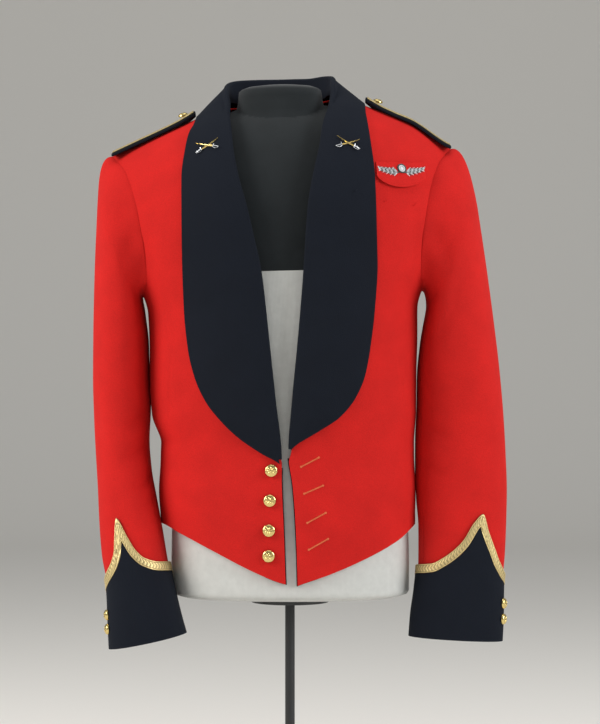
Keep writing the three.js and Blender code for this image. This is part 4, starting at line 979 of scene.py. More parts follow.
def panels(side, face):
    p, n, keep = panel_grid(side, face)
    rows = PANEL_FOLDS[side] if face == "front" else BACK_FOLDS
    x, z = np.abs(p[..., 0]), p[..., 2]
    relief = folds(x, z, rows) * smooth(ridge_z(side, x) - 4, ridge_z(side, x) - 60, z)
    # the cloth thickens where it is turned at the hem
    edge = hem_z(side, angle_of(x / half_width[side](z)))
    relief += 0.35 * (1 - smooth(9, 13, z - edge)) * (z < 480)
    p = p + n * relief[..., None]
    uv = np.stack([arc(p, 1), arc(p, 0)], -1)
    flip = (side == "right") == (face == "front")
    name = f"{face}_cloth_{side}"
    piece = wall(name, lean(p), n, kit().cloth / MM, scarlet(), keep=keep, flip=flip, uv=uv)
    settle(piece, "scarlet_wool", f"{face}_{side}")
    cut(p, keep)


# The roll of the armhole seam: its radius, how far its middle lies under the cloth's face, and its ring
SEAM_ROLL = dict(radius=1.5, under=1.5, ring=0.004)


def sleeve(side, name, span, columns, head_rows=34, rows=125):
    ring = np.concatenate([np.linspace(0, 1, head_rows), np.linspace(1, RINGS - 0.04, rows)[1:]])[:, None]
    seam = SLEEVE_SEAM / SLEEVE_ROUND
    turn = np.linspace(math.radians(span[0]) + seam, math.radians(span[1]) - seam, columns)[None]
    ring, turn = np.broadcast_arrays(ring, turn)
    p, n = on_sleeve(side, ring, turn)
    p = p + n * sleeve_relief(side, ring, turn)[..., None]
    grid_n = unit(np.cross(np.gradient(p, axis=1), np.gradient(p, axis=0))) * SIGN[side]
    piece = wall(f"{name}_cloth_{side}", p, grid_n, kit().cloth / MM, scarlet(), flip=side == "right")
    settle(piece, "scarlet_wool", f"{name}_{side}")
    cut(p)


def seam_cord(side):
    """The turned-in seam allowance, a soft roll in the joint of sleeve and body."""
    turn = np.linspace(0, math.tau, 240, endpoint=False)
    p, _ = on_sleeve(side, SEAM_ROLL["ring"] + 0 * turn, turn, -SEAM_ROLL["under"])
    p[:, 0] -= SIGN[side] * HEAD_GAP / 2
    roll = gather(f"armhole_seam_{side}", [tube(p, SEAM_ROLL["radius"], 8, closed=True)], scarlet())
    settle(roll, "scarlet_wool")


EDGE_CORD = 0.95


def lace_relief(u, v, width, pitch):
    """Height of the lace: slanting cords that meet in the middle, between two round edge cords."""
    across = np.abs(2 * v / width - 1)
    rib = np.abs(np.sin(math.pi * (u + 0.9 * pitch * across) / pitch)) ** 0.7
    from_edge = (1 - across) * width / 2
    cord = np.sqrt(np.clip(1 - (from_edge / EDGE_CORD - 1) ** 2, 0, 1))
    return np.where(from_edge < 2 * EDGE_CORD, LACE_CORD * cord, 0.1 + 0.55 * rib)


def cuff(side):
    """The navy cuff from the lace down to the wrist, and the braid of gold lace along its top."""
    degrees = CUFF_PEAK[side] + np.arange(0, 360, 1.5)
    turn = np.radians(degrees)
    foot = ring_at(side, turn, lace_foot(side, degrees))
    down = np.linspace(0, 1, 25)[:, None]
    ring = lerp(foot, RINGS, down)
    p, n = on_sleeve(side, ring, np.broadcast_to(turn, ring.shape), CUFF_PROUD)
    swell = 0.25 * np.sin(np.radians(degrees * 3 + 40)) * np.sin(math.pi * down)
    crease = 0.6 * np.exp(-(((degrees - CUFF_OPENING) / 1.6) ** 2)) * smooth(0.1, 0.35, down)
    p = p + n * (swell - crease)[..., None]
    piece = wall(f"cuff_cloth_{side}", p, n, kit().facing_cloth / MM, navy(), wrap=True, flip=side == "right")
    settle(piece, "navy_wool", f"cuff_{side}")
    cut(p, wrap=True)

    degrees = CUFF_PEAK[side] + np.arange(0, 360, 0.6)
    turn = np.radians(degrees)
    top = ring_at(side, turn, lace_top(side, degrees))
    foot = ring_at(side, turn, lace_foot(side, degrees)) - LACE_GAP
    down = np.linspace(0, 1, 21)[:, None]
    ring = lerp(top, foot, down)
    p, n = on_sleeve(side, ring, np.broadcast_to(turn, ring.shape), CUFF_PROUD)
    middle = np.append(0, np.cumsum(np.linalg.norm(np.diff(p[len(p) // 2], axis=0), axis=1)))
    u, v = np.broadcast_arrays(middle[None], down * LACE_DOWN)
    relief = lace_relief(u, v, LACE_DOWN, kit().lace_pitch / MM)
    p = p + n * relief[..., None]
    piece = wall(
        f"cuff_lace_braid_{side}", p, n, FACING + relief, gold_lace(), wrap=True, flip=side == "right",
        uv=np.stack([u, v], -1), rise=relief / LACE_CORD,
    )
    settle(piece, "gold_lace", f"cuff_lace_{side}")


def button_shape(radius, height, rim):
    """A die-struck dome: a plain rim, a ring of beads and an eight-petalled rosette."""
    sides, beads = 72, 24
    turn = 2 * math.pi * np.arange(sides) / sides
    rings = [(0.86 * radius, 0.0 * turn), (radius, 0 * turn + rim * 0.5), (0.97 * radius, 0 * turn + rim)]
    for share in np.linspace(0.93, 0.04, 24):
        dome = rim + (height - rim) * math.sqrt(1 - share**2)
        bead = 0.28 * math.exp(-(((share - 0.8) / 0.06) ** 2)) * (0.5 + 0.5 * np.cos(beads * turn))
        petal = 0.45 * math.exp(-(((share - 0.38) / 0.2) ** 2)) * np.clip(np.cos(8 * turn) + 0.3, 0, 1.3)
        heart = 0.3 * math.exp(-((share / 0.12) ** 2))
        rings.append((share * radius, dome + bead + petal + heart))
    points = [np.stack([r * np.cos(turn), r * np.sin(turn), z], 1) for r, z in rings]
    points = np.concatenate(points + [[[0, 0, 0]], [[0, 0, height + 0.3]]])
    return points, loft_faces(len(rings), sides)


def stood(points, p, n, spin=0.0):
    """Puts local points with +Z along n, and +Y as near up as it goes."""
    n = unit(np.asarray(n, float))
    across = unit(np.cross((0, 0, 1), n))
    up = np.cross(n, across)
    c, s = math.cos(spin), math.sin(spin)
    points = np.asarray(points)
    x = points[:, 0] * c - points[:, 1] * s
    y = points[:, 0] * s + points[:, 1] * c
    return p + x[:, None] * across + y[:, None] * up + points[:, 2:3] * n


# Each kind of button: its radius, its height and the height of its rim
FRONT_DOME, CUFF_DOME, BOARD_DOME = (8.6, 5.2, 1.6), (7.2, 4.6, 1.4), (7.0, 4.6, 1.4)
FRONT_BUTTONS = dict(z=(480.5, 441.5, 402.5, 369), x=(22.2, 25, 27, 27.7))
CUFF_BUTTON_Z = {"right": (289, 270.5), "left": (301, 280.5)}
CUFF_BUTTON_TURN = math.radians(16)
CUFF_BUTTON_PROUD = CUFF_PROUD + 0.35


def put_button(name, node, size, p, n, spin):
    points, faces = button_shape(*size)
    # a shank of wire under the dome, sewn down to the cloth
    shank = np.array([[0, 0, -CLEAR - 0.4], [0, 0, 0.4]])
    sp, sf = tube(shank, 1.3, 10, up=np.array([1.0, 0, 0]))
    piece = gather(name, [(stood(points, p, n, spin), faces), (stood(sp, p, n), sf)], gilt(), soft=60)
    settle(piece, "gilt_metal", node)


def buttons():
    for i, (z, x) in enumerate(zip(FRONT_BUTTONS["z"], FRONT_BUTTONS["x"])):
        spot = figure("right", "front", np.array(float(x)), np.array(float(z)))
        p, n = on_figure("right", spot, CLEAR)
        node = f"front_button_{i + 1}"
        put_button(f"front_button_dome_{i + 1}", node, FRONT_DOME, lean(p), n, 0.2 * i)
    for side in SIGN:
        for i, z in enumerate(CUFF_BUTTON_Z[side]):
            ring = ring_at(side, CUFF_BUTTON_TURN, z)
            p, n = on_sleeve(side, ring, CUFF_BUTTON_TURN, CUFF_BUTTON_PROUD)
            node = f"cuff_button_{side}_{i + 1}"
            put_button(f"cuff_button_dome_{side}_{i + 1}", node, CUFF_DOME, p, n, 0.3 * i)


def repeat_along(name, spots, outs, alongs, unit_points, unit_faces, material):
    """Sets one small shape at each spot with geometry nodes and turns the result into a plain mesh."""
    shape = mesh_object(name + "_unit", np.asarray(unit_points) * MM, unit_faces, material)
    mesh = bpy.data.meshes.new(name)
    mesh.from_pydata((np.asarray(spots) * MM).tolist(), [], [])
    for key, values in (("out", outs), ("along", alongs)):
        mesh.attributes.new(key, "FLOAT_VECTOR", "POINT").data.foreach_set("vector", np.ravel(values))
    piece = linked(name, mesh)

    tree = bpy.data.node_groups.new(name, "GeometryNodeTree")
    tree.interface.new_socket("Spots", in_out="INPUT", socket_type="NodeSocketGeometry")
    size = tree.interface.new_socket("Shape size", in_out="INPUT", socket_type="NodeSocketFloat")
    tree.interface.new_socket("Sewn", in_out="OUTPUT", socket_type="NodeSocketGeometry")
    given = add_node(tree, "NodeGroupInput")
    out, along = (
        add_node(tree, "GeometryNodeInputNamedAttribute", {"Name": key}, data_type="FLOAT_VECTOR")
        for key in ("out", "along")
    )
    upright = {"Vector": out.outputs["Attribute"]}
    raised = add_node(tree, "FunctionNodeAlignRotationToVector", upright, axis="Z")
    aimed = {"Rotation": raised.outputs["Rotation"], "Vector": along.outputs["Attribute"]}
    turned = add_node(tree, "FunctionNodeAlignRotationToVector", aimed, axis="X", pivot_axis="Z")
    stitch = add_node(tree, "GeometryNodeObjectInfo", {"Object": shape})
    sewn = add_node(
        tree, "GeometryNodeInstanceOnPoints",
        {"Points": given.outputs["Spots"], "Instance": stitch.outputs["Geometry"],
         "Rotation": turned.outputs["Rotation"], "Scale": given.outputs["Shape size"]},
    )
    real = add_node(tree, "GeometryNodeRealizeInstances", {"Geometry": sewn.outputs["Instances"]})
    done = add_node(
        tree, "GeometryNodeSetMaterial", {"Geometry": real.outputs["Geometry"], "Material": material}
    )
    add_node(tree, "NodeGroupOutput", {"Sewn": done.outputs["Geometry"]})

    sewing = piece.modifiers.new("sewing", "NODES")
    sewing.node_group = tree
    sewing[size.identifier] = 1.0
    made_plain(piece)
    bpy.data.objects.remove(shape)
    bpy.data.node_groups.remove(tree)
    piece.data.shade_smooth()
    return piece


def collar(side):
    p, n = collar_grid(side)
    piece = wall(f"collar_cloth_{side}", p, n, kit().facing_cloth / MM, navy(), flip=side == "left")
    settle(piece, "navy_wool", f"collar_{side}")
    cut(p)


def collar_seam():
    """The seam at the middle of the back, a soft ridge between the collar's two halves."""
    p, n = (sum(pair) / 2 for pair in zip(*(collar_grid(side) for side in SIGN)))
    ridge = tube(p[-1] - n[-1] * kit().facing_cloth / MM / 2, 1.1, 8, up=np.array([1.0, 0, 0]))
    settle(gather("collar_back_seam", [ridge], navy()), "navy_wool")


FACING_STRIP = dict(edge=-1.3, width=26, right=484, left=496)


def facing(side):
    across, up = np.linspace(0, 1, 10)[None], np.linspace(0, 1, 60)[:, None]
    inward = lerp(FACING_STRIP["edge"], FACING_STRIP["width"], across)
    z = np.full((60, 10), 450.0)
    for _ in range(8):
        x = opening_x[side](z) + inward
        foot = hem_at[side](np.maximum(x, 0)) - 0.6
        z = lerp(foot, FACING_STRIP[side], np.broadcast_to(up, z.shape))
    x = opening_x[side](z) + inward
    p, n = on_figure(side, figure(side, "front", x, z), np.full(z.shape, -CLOTH - CLEAR))
    piece = wall(f"facing_cloth_{side}", lean(p), n, kit().facing_cloth / MM, navy(), flip=side == "right")
    settle(piece, "navy_wool", f"facing_{side}")
    cut(p)


# Buttonholes on the wearer's left front, from the eye to the far end, seen from the front
BUTTONHOLES = ((15, 485, 38, 497), (19, 450, 43.5, 460.5), (23, 412, 47, 425), (25, 377, 50, 391))
EYE = 0.7
STITCH = dict(half=0.85, thread=0.33, lift=0.15)


def on_front(side, x, z, lift):
    """A point over one front, given by where it is seen from the front."""
    x, z = np.asarray(x, float), np.asarray(z, float)
    square = pts(x, 0 * x, z)
    for _ in range(4):
        square = square + pts(x, 0 * x, z) - lean(square) * (1, 0, 1)
    on = figure(side, "front", np.abs(square[..., 0]), square[..., 2])
    on[..., 0] = square[..., 0]
    p, n = on_figure(side, on, lift)
    return lean(p), n


def buttonholes():
    """Stitches across each buttonhole's line, and a small round eye of them at each end."""
    rows = []
    eye = np.linspace(0, math.tau, 7, endpoint=False)
    for x0, z0, x1, z1 in BUTTONHOLES:
        run = math.hypot(x1 - x0, z1 - z0)
        t = np.linspace(0, 1, int(run / (kit().stitch_gap / MM)))
        across = ((z0 - z1) / run, 0, (x1 - x0) / run)
        rows.append((lerp(x0, x1, t), lerp(z0, z1, t), np.tile(across, (len(t), 1))))
        for x, z in ((x0, z0), (x1, z1)):
            spread = pts(np.cos(eye), 0 * eye, np.sin(eye))
            rows.append((x + EYE * np.cos(eye), z + EYE * np.sin(eye), spread))
    on = [on_front("left", x, z, np.full(len(x), STITCH["lift"])) for x, z, _ in rows]
    spots, outs = (np.concatenate(group) for group in zip(*on))
    alongs = np.concatenate([along for _, _, along in rows])
    half = STITCH["half"]
    line = pts(np.linspace(-half, half, 5), np.zeros(5), 0.42 * np.cos(np.linspace(-1.4, 1.4, 5)) - 0.1)
    stitch, faces = tube(line, STITCH["thread"], 6)
    made = repeat_along(
        "buttonhole_stitches", spots, outs, alongs, stitch, faces,
        silk_thread("pale scarlet buttonhole twist", kit().twist),
    )
    settle(made, "scarlet_wool")


# Bar tacks seen from the front: two scarlet ones on the left front and a dark one on the lapel
FRONT_LOOPS = ((123, 830.5, 128, 832.5), (161.5, 826.5, 166.5, 828.5))
LAPEL_LOOPS = ((83, 841, 86, 844),)
LOOP = dict(thread=0.55, arch=1.5)


def thread_loop(x0, z0, x1, z1, base):
    t = np.linspace(0, 1, 13)
    high = CLEAR + LOOP["arch"] * np.sin(math.pi * t)
    p, _ = on_front("left", lerp(x0, x1, t), lerp(z0, z1, t), base + high)
    return tube(p, LOOP["thread"], 8)


def thread_loops():
    red = [thread_loop(*ends, 0.0) for ends in FRONT_LOOPS]
    dark = [thread_loop(*ends, LAPEL_LIFT + LAPEL_BELLY - 0.4) for ends in LAPEL_LOOPS]
    settle(gather("scarlet_thread_loops", red, scarlet()), "scarlet_wool")
    settle(gather("dark_thread_loop", dark, navy()), "navy_wool")


# The lapel badges: their places, how far each is turned, the slope of a blade, and their scale
BADGE_AT = {"right": (94.6, 903.4), "left": (86.5, 902.3)}
BADGE_SPIN = {"right": math.radians(15.5), "left": math.radians(-9)}
SABRE_SLOPE = math.radians(21)
SABRE_SCALE = 0.92


def sabre(sign, spin):
    """One curved blade with its point up, a fuller, and a hilt below; plus the hilt's own parts."""
    t = np.linspace(0, 1, 28)
    x, bend = lerp(-9.5, 19, t), 2.6 * t * t
    half = np.clip(1.25 * (1 - t) ** 0.35, 0.12, 1.15)
    section = [(-1, 0.2), (-0.6, 1.15), (0, 0.85), (0.6, 1.15), (1, 0.2), (0.6, 0), (-0.6, 0)]
    points = [(along, b + h * u, v) for along, b, h in zip(x, bend, half) for u, v in section]
    sides, count = len(section), len(points)
    faces = grid_quads(len(x), sides, wrap=True)[:, [0, 3, 2, 1]].tolist()
    faces += [list(range(sides)), list(range(count - sides, count))[::-1]]
    blade = (np.array(points), faces)
    grip = tube(pts(np.linspace(-17.5, -10.5, 12), np.linspace(-0.9, 0.2, 12), np.full(12, 0.95)),
                0.8 + 0.15 * np.cos(np.arange(12) * math.pi), 10)
    knob = tube(pts(np.linspace(-19, -17, 7), np.full(7, -1.0), np.full(7, 0.95)),
                np.sqrt(np.clip(1 - np.linspace(-0.95, 0.95, 7) ** 2, 0.05, 1)) * 1.1, 10)
    quill = tube(pts(np.full(9, -9.8), np.linspace(-2.6, 2.9, 9), np.full(9, 0.95)),
                 0.6 + 0.25 * np.abs(np.linspace(-1, 1, 9)) ** 3, 8)
    guard = np.linspace(0.1, math.pi - 0.15, 16)
    knuckle = tube(pts(-14 + 4.2 * np.cos(guard), -0.6 - 3.0 * np.sin(guard), np.full(16, 0.9)), 0.42, 7)
    turn = spin + (SABRE_SLOPE if sign > 0 else math.pi - SABRE_SLOPE)
    c, s = math.cos(turn), math.sin(turn)

    def placed(part, mirror):
        points, part_faces = part
        x, y, z = (points * (1, -1 if mirror else 1, 1)).T
        return pts(x * c - y * s, x * s + y * c, z), [f[::-1] for f in part_faces] if mirror else part_faces

    mirror = sign < 0
    return [placed(part, mirror) for part in (blade, grip, knob, quill, knuckle)]


def lapel_badge(side):
    x, z = BADGE_AT[side]
    spot = figure(side, "front", np.array(x), np.array(z))
    p, n = on_figure(side, spot, LAPEL_LIFT + LAPEL_BELLY + 0.15)
    parts, slots = [], []
    for sign in (1, -1):
        for i, (points, faces) in enumerate(sabre(sign, BADGE_SPIN[side])):
            lift = 0.9 if sign < 0 else 0.0
            parts.append((stood(points * SABRE_SCALE + (0, 0, lift), lean(p), n), faces))
            slots.append(0 if i == 0 else 1)
    finishes = [gilt(), plated("silvered brass", kit().silver, 0.34)]
    piece = gather(f"crossed_sabres_{side}", parts, finishes, soft=35, slots=slots)
    settle(piece, "badge_metal", f"lapel_badge_{side}")


PATCH = dict(x=156.5, z=855.5, half=33, up=25, down=9.2, bow=28.8, lift=2.4, thick=1.2)
BADGE_Z = 869
BADGE_BASE = CLEAR + PATCH["thick"] + 0.45


def breast_patch():
    across, up = np.meshgrid(np.linspace(-1, 1, 70), np.linspace(0, 1, 44))
    under = PATCH["down"] - PATCH["bow"] * (1 - np.sqrt(1 - 0.75 * across**2))
    z = PATCH["z"] + lerp(-under, PATCH["up"], up)
    edge = np.minimum(1 - np.abs(across), np.minimum(up, 1 - up) * 1.2)
    stitched = 0.45 * np.exp(-((edge / 0.05 - 1) ** 2))
    lift = CLEAR + PATCH["thick"] + PATCH["lift"] * (1 - up) ** 2 - stitched
    p, n = on_figure("left", figure("left", "front", PATCH["x"] + across * PATCH["half"], z), lift)
    piece = wall("breast_patch_cloth", lean(p), n, PATCH["thick"], scarlet())
    settle(piece, "scarlet_wool", "breast_patch")
    cut(p)


def mound(line, half, high, base, material_slot, across=7):
    """Padded satin stitch: a low rounded wall along a line of (u, v) on the badge, half wide."""
    line, half = np.asarray(line, float), np.asarray(half, float)[:, None]
    way = unit(np.gradient(line, axis=0))
    side = np.stack([-way[:, 1], way[:, 0]], 1)
    t = np.linspace(-1, 1, across)[None]
    u = line[:, :1] + side[:, :1] * half * t
    v = line[:, 1:] + side[:, 1:] * half * t
    threads = 1 + 0.1 * np.sin(np.arange(len(line)) * math.pi)[:, None]
    lift = base + high * np.sqrt(np.clip(1 - t * t, 0, 1)) * np.sqrt(half / half.max()) * threads
    return u, v, lift, material_slot


def spray(s):
    """Stitches of one spray: a stem, nine pairs of leaves with their veins, and a fern tip."""

    def stem(share):
        return np.stack([s * lerp(3.5, 29, share), -3.2 + 5.4 * share**1.6], -1)

    share = np.linspace(0, 1, 30)
    marks = [mound(stem(share), lerp(1.0, 0.5, share), 0.9, BADGE_BASE, 1)]
    for k in range(9):
        at = 0.1 + 0.1 * k
        root = stem(at)
        for up in (1, -1):
            reach = (9.4 - 3.6 * at) * (1 if up > 0 else 0.75)
            tilt = math.radians(52 - 14 * at) * up
            tip = root + reach * np.array([s * math.cos(tilt), math.sin(tilt)])
            t = np.linspace(0, 1, 16)[:, None]
            bent = lerp(root, tip, t) + np.array([0, -0.9 * up]) * np.sin(math.pi * t)
            half = 1.55 * np.sin(math.pi * np.clip(t[:, 0], 0.03, 0.97) ** 0.8) + 0.08
            dark = k % 2
            marks.append(mound(bent, half, 1.2, BADGE_BASE, dark))
            marks.append(mound(bent[2:13], np.full(11, 0.22), 0.45, BADGE_BASE + 1.1, 1 - dark, 4))
    t = np.linspace(0, 1, 14)
    fern = lerp(np.array([s * 26, 1.2]), np.array([s * 31, 3.4]), t[:, None])
    marks.append(mound(fern, 1.3 * np.sin(math.pi * np.clip(t, 0.03, 0.97)) + 0.1, 1.1, BADGE_BASE, 0))
    return marks


def breast_badge():
    """Two sprays of leaves about a plain boss, a generic design in padded embroidery."""
    parts, slots = [], []
    for u, v, lift, slot_at in spray(-1) + spray(1):
        spot = figure("left", "front", PATCH["x"] + u, BADGE_Z + v)
        top, n = on_figure("left", spot, lift)
        foot, _ = on_figure("left", spot, np.full(u.shape, BADGE_BASE - 0.35))
        quads = grid_quads(*u.shape)
        # turn the mound to face outwards
        a = lean(top)[1, 0] - lean(top)[0, 0]
        b = lean(top)[0, 1] - lean(top)[0, 0]
        if np.dot(np.cross(b, a), n[0, 0]) < 0:
            quads = quads[:, ::-1]
        points = np.concatenate([lean(top).reshape(-1, 3), lean(foot).reshape(-1, 3)])
        parts.append((points, wall_faces(quads, u.size).tolist()))
        slots.append(slot_at)
    spot = figure("left", "front", np.array(PATCH["x"]), np.array(BADGE_Z + 2.0))
    p, n = on_figure("left", spot, BADGE_BASE)
    turns = np.linspace(0, math.tau, 40, endpoint=False)
    for radius, thick, slot_at in ((5.8, 0.85, 1), (4.1, 0.8, 0)):
        ring = pts(radius * np.cos(turns), radius * np.sin(turns), 0 * turns + 0.6)
        points, faces = tube(ring, thick, 8, closed=True)
        parts.append((stood(points, lean(p), n), faces))
        slots.append(slot_at)
    dome = pts(np.zeros(8), np.zeros(8), np.linspace(-0.2, 1.5, 8))
    points, faces = tube(dome, 3.1 * np.sqrt(np.clip(1 - np.linspace(-0.2, 0.98, 8) ** 2, 0.02, 1)), 20)
    parts.append((stood(points, lean(p), n), faces))
    slots.append(0)
    white = silk_thread("white silk embroidery", kit().silk)
    dark = silk_thread("dark silk embroidery", kit().green)
    piece = gather("embroidered_sprays", parts, [white, dark], soft=60, slots=slots)
    settle(piece, "badge_thread", "breast_badge")


BOARD = dict(start=227, end=115, half=27, thick=3.6, point=16, curve=4.5)
BOARD_LONG = BOARD["start"] - BOARD["end"]
BOARD_LACE = dict(thick=1.2, gap=0.8, back=0.45, edge=2.2, middle=0.9, rows=220, columns=25)
BOARD_RISE = dict(
    along=(0, 0.3, 0.6, 0.8, 1),
    right=(1.6, 2.2, 2.8, 4, 8.5),
    left=(1.6, 2, 2.2, 3.4, 9),
)
board_rise = {s: curve(BOARD_RISE, "along", s) for s in SIGN}


def board_at(side, along, across, lift):
    """A point over the shoulder board: along 0 at the sleeve to 1 at the neck, across in mm."""
    x = lerp(BOARD["start"], BOARD["end"], along)
    narrow = np.sqrt(1 - np.clip(((along - 1) * BOARD_LONG + BOARD["point"]) / BOARD["point"], 0, 0.93) ** 2)
    rise = board_rise[side]
    z = ridge_z(side, x) + rise(along) - (across / BOARD["half"]) ** 2 * BOARD["curve"] + lift
    climb = (rise(np.minimum(along + 0.05, 1)) - rise(np.maximum(along - 0.05, 0))) / 0.1
    slope = SHOULDER_FALL - climb / BOARD_LONG
    tilt = across / BOARD["half"] * 0.3
    n = unit(pts(SIGN[side] * slope, tilt, 0 * tilt + 1))
    return lean(pts(SIGN[side] * x, RIDGE_Y + across * narrow, z)), n


def board(side):
    t = np.concatenate([np.linspace(0, 0.85, 60), np.linspace(0.85, 1, 30)[1:]])[:, None]
    across = np.linspace(-BOARD["half"], BOARD["half"], 40)[None]
    rim = np.minimum(BOARD["half"] - np.abs(across), BOARD_LONG * np.minimum(t, 1 - t) + 0.4)
    soft = -0.8 * np.clip(1 - rim / 1.4, 0, 1) ** 2
    p, n = board_at(side, t, across, BOARD["thick"] + soft)
    thick = BOARD["thick"] + 2 * soft
    piece = wall(f"board_body_{side}", p, n, thick, navy(), flip=side == "right")
    settle(piece, "navy_wool", f"board_{side}")

    top = BOARD["thick"] + BOARD_LACE["gap"]
    wide = BOARD["half"] - BOARD_LACE["edge"] - BOARD_LACE["middle"]
    for name, low in (("front", -BOARD["half"] + BOARD_LACE["edge"]), ("back", BOARD_LACE["middle"])):
        t = np.linspace(0.01, 0.98, BOARD_LACE["rows"])[:, None]
        v = np.linspace(0, wide, BOARD_LACE["columns"])[None]
        relief = lace_relief(t * BOARD_LONG, v + 0 * t, wide, kit().lace_pitch / MM)
        thick = BOARD_LACE["back"] + relief
        p, n = board_at(side, t, low + v, top + thick)
        braid = wall(
            f"board_braid_{name}_{side}", p, n, thick, gold_lace(), flip=side == "right",
            rise=relief / LACE_CORD,
        )
        settle(braid, "gold_lace", f"board_lace_{name}_{side}")

    lift = BOARD["thick"] + 2 * BOARD_LACE["gap"] + BOARD_LACE["thick"]
    spot, n = board_at(side, np.array(0.86), np.array(-1 / 3), lift)
    put_button(f"board_button_dome_{side}", f"board_button_{side}", BOARD_DOME, spot, n, 0.4)


FORM = dict(
    z=(307, 313, 335, 420, 500, 600, 690, 745, 800, 850, 903, 1000),
    half=(150, 160, 160, 158, 152, 160, 166, 172, 184, 206, 226, 236),
    front=(98, 106, 107, 104, 101, 107, 113, 114, 113, 110, 107, 104),
    back=(88, 94, 95, 93, 90, 101, 107, 109, 109, 108, 108, 106),
)
FORM_SEAM_Z = 741
FORM_NECK = dict(half=57, deep=52, y=2)
form_at = {name: curve(FORM, "z", name) for name in ("half", "front", "back")}


def form_ridge(x):
    ridge = np.where(x < 0, ridge_z("right", x), ridge_z("left", x))
    return ridge - CLOTH - 1.2 - 7 * (1 - smooth(118, 150, np.abs(x)))


def closed_loft(name, rings, material, uv_around):
    """A closed solid through level rings of points, capped with a fan at each end."""
    rows, cols = rings.shape[:2]
    ends = [rings[0].mean(0), rings[-1].mean(0)]
    points = np.concatenate([rings.reshape(-1, 3), ends])
    round_mm = np.linspace(0, uv_around, cols, endpoint=False)[None] + 0 * rings[..., 0]
    uv = np.stack([round_mm, rings[..., 2]], -1).reshape(-1, 2)
    uv = np.concatenate([uv, [[0, ends[0][2]], [0, ends[1][2]]]])
    return mesh_object(name, points * MM, loft_faces(rows, cols), material, uv, soft=50)


FORM_FOLDS = ((-50, 741, 40, 765, 1.2, 9), (-10, 746, 60, 790, -1.4, 10), (-60, 800, -20, 760, 0.9, 12))


def form_torso():
    z = np.concatenate([[307, 307.6, 309, 311.5, 315], np.linspace(319, FORM_SEAM_Z - SEAM, 110)])[:, None]
    turn = np.linspace(0, math.tau, 160, endpoint=False)[None]
    c, s = boxy_round(turn)
    low = 0.94 + 0.06 * np.sqrt(np.clip(1 - ((315 - z) / 8) ** 2, 0, 1)) * (z < 315) + 0.06 * (z >= 315)
    x = form_at["half"](z) * c * low
    y = np.where(s < 0, form_at["front"](z), form_at["back"](z)) * s * low
    rings = lean(pts(x, RIDGE_Y + y, z))
    piece = closed_loft("form_linen", rings, plain_linen("plain flax linen", kit().linen), 860)
    settle(piece, "form_linen", "form_torso")


def form_cover():
    turn = np.linspace(0, math.tau, 200, endpoint=False)[None]
    c, s = boxy_round(turn)
    climb = np.linspace(0, 1, 90)[:, None]
    z = np.full((climb.size, turn.size), float(FORM_SEAM_Z))
    for _ in range(14):
        x = form_at["half"](z) * c
        foot = math.pi / 2 + (form_ridge(x) - DOME - FORM_SEAM_Z - SEAM) / DOME
        arch = lerp(foot, 0.13, climb)
        straight = form_ridge(x) - DOME * (1 + arch - math.pi / 2)
        z = np.where(arch > math.pi / 2, straight, form_ridge(x) - DOME * (1 - np.cos(arch)))
    reach = np.where(s < 0, form_at["front"](z), form_at["back"](z)) * np.sin(np.minimum(arch, math.pi / 2))
    p = pts(x, RIDGE_Y + reach * s, z)
    crease = folds(x, z, FORM_FOLDS) * (s < -0.3)
    p[..., 1] -= crease
    shell = closed_loft("form_cover_jersey", lean(p), knit_jersey("black jersey", kit().cover), 1100)

    heights = np.array([900, 930, 958, 968, 976, 984, 987, 989.5, 991.3, 992])
    grow = curve(dict(z=(900, 958, 968, 984, 990.4, 992), g=(1.1, 1.05, 1, 0.97, 0.72, 0.3)), "z", "g")
    turn = np.linspace(0, math.tau, 72, endpoint=False)[None]
    wide = grow(heights)[:, None]
    x, y = FORM_NECK["half"] * wide * np.cos(turn), FORM_NECK["deep"] * wide * np.sin(turn)
    neck = lean(pts(x, FORM_NECK["y"] + y, heights[:, None] + 0 * turn))
    cap = closed_loft("form_neck", neck, knit_jersey("black jersey", kit().cover), 360)
    joint = shell.modifiers.new("neck", "BOOLEAN")
    joint.operation, joint.solver, joint.object = "UNION", "EXACT", cap
    made_plain(shell)
    bpy.data.objects.remove(cap)
    settle(shell, "form_cover", "form_cover")


def turned_part(name, profile, sides, node):
    """A turned steel part from its profile of radius and height."""
    turn = np.linspace(0, math.tau, sides, endpoint=False)[None]
    r, z = (np.array(v, float)[:, None] for v in zip(*profile))
    rings = pts(r * np.cos(turn), r * np.sin(turn), z + 0 * turn)
    piece = closed_loft(name, rings, satin_paint("dark satin paint on steel", kit().steel), 300)
    settle(piece, "stand_steel", node)


def rounded_drum(radius, low, high, corner, soft_foot=0.6):
    a = np.linspace(0, math.pi / 2, 8)
    foot = [(radius - soft_foot * (1 - math.sin(t)), low + soft_foot * (1 - math.cos(t))) for t in a]
    head = [(radius - corner * (1 - math.cos(t)), high - corner * (1 - math.sin(t))) for t in a]
    return foot + head


def stand_parts():
    turned_part("steel_flange", rounded_drum(52, 299, 306.7, 1.5), 96, "stand_flange")
    turned_part("steel_pole", rounded_drum(6.5, 12.3, 298.7, 0.6, 0.4), 48, "stand_pole")
    turned_part("steel_base", rounded_drum(150, 0, 12, 3), 160, "stand_base")


# The stage, in metres: where the camera looks, how far off it stands and how many degrees it looks down
CAMERA = dict(aim=(0.0135, 0, 0.621), away=3.5, lens=129.6, rise=0.4)
LAMP_AIM = (0, 0, 0.7)
# Each lamp's place, width, watts and tone
LAMPS = {
    "key softbox": ((-2.6, -1.1, 1.9), 1.5, 72, (1.0, 0.98, 0.95)),
    "side softbox": ((2.6, -1.2, 1.7), 1.5, 58, (0.97, 0.99, 1.0)),
    "overhead softbox": ((0.1, -0.2, 2.9), 1.6, 15, (1.0, 1.0, 1.0)),
}
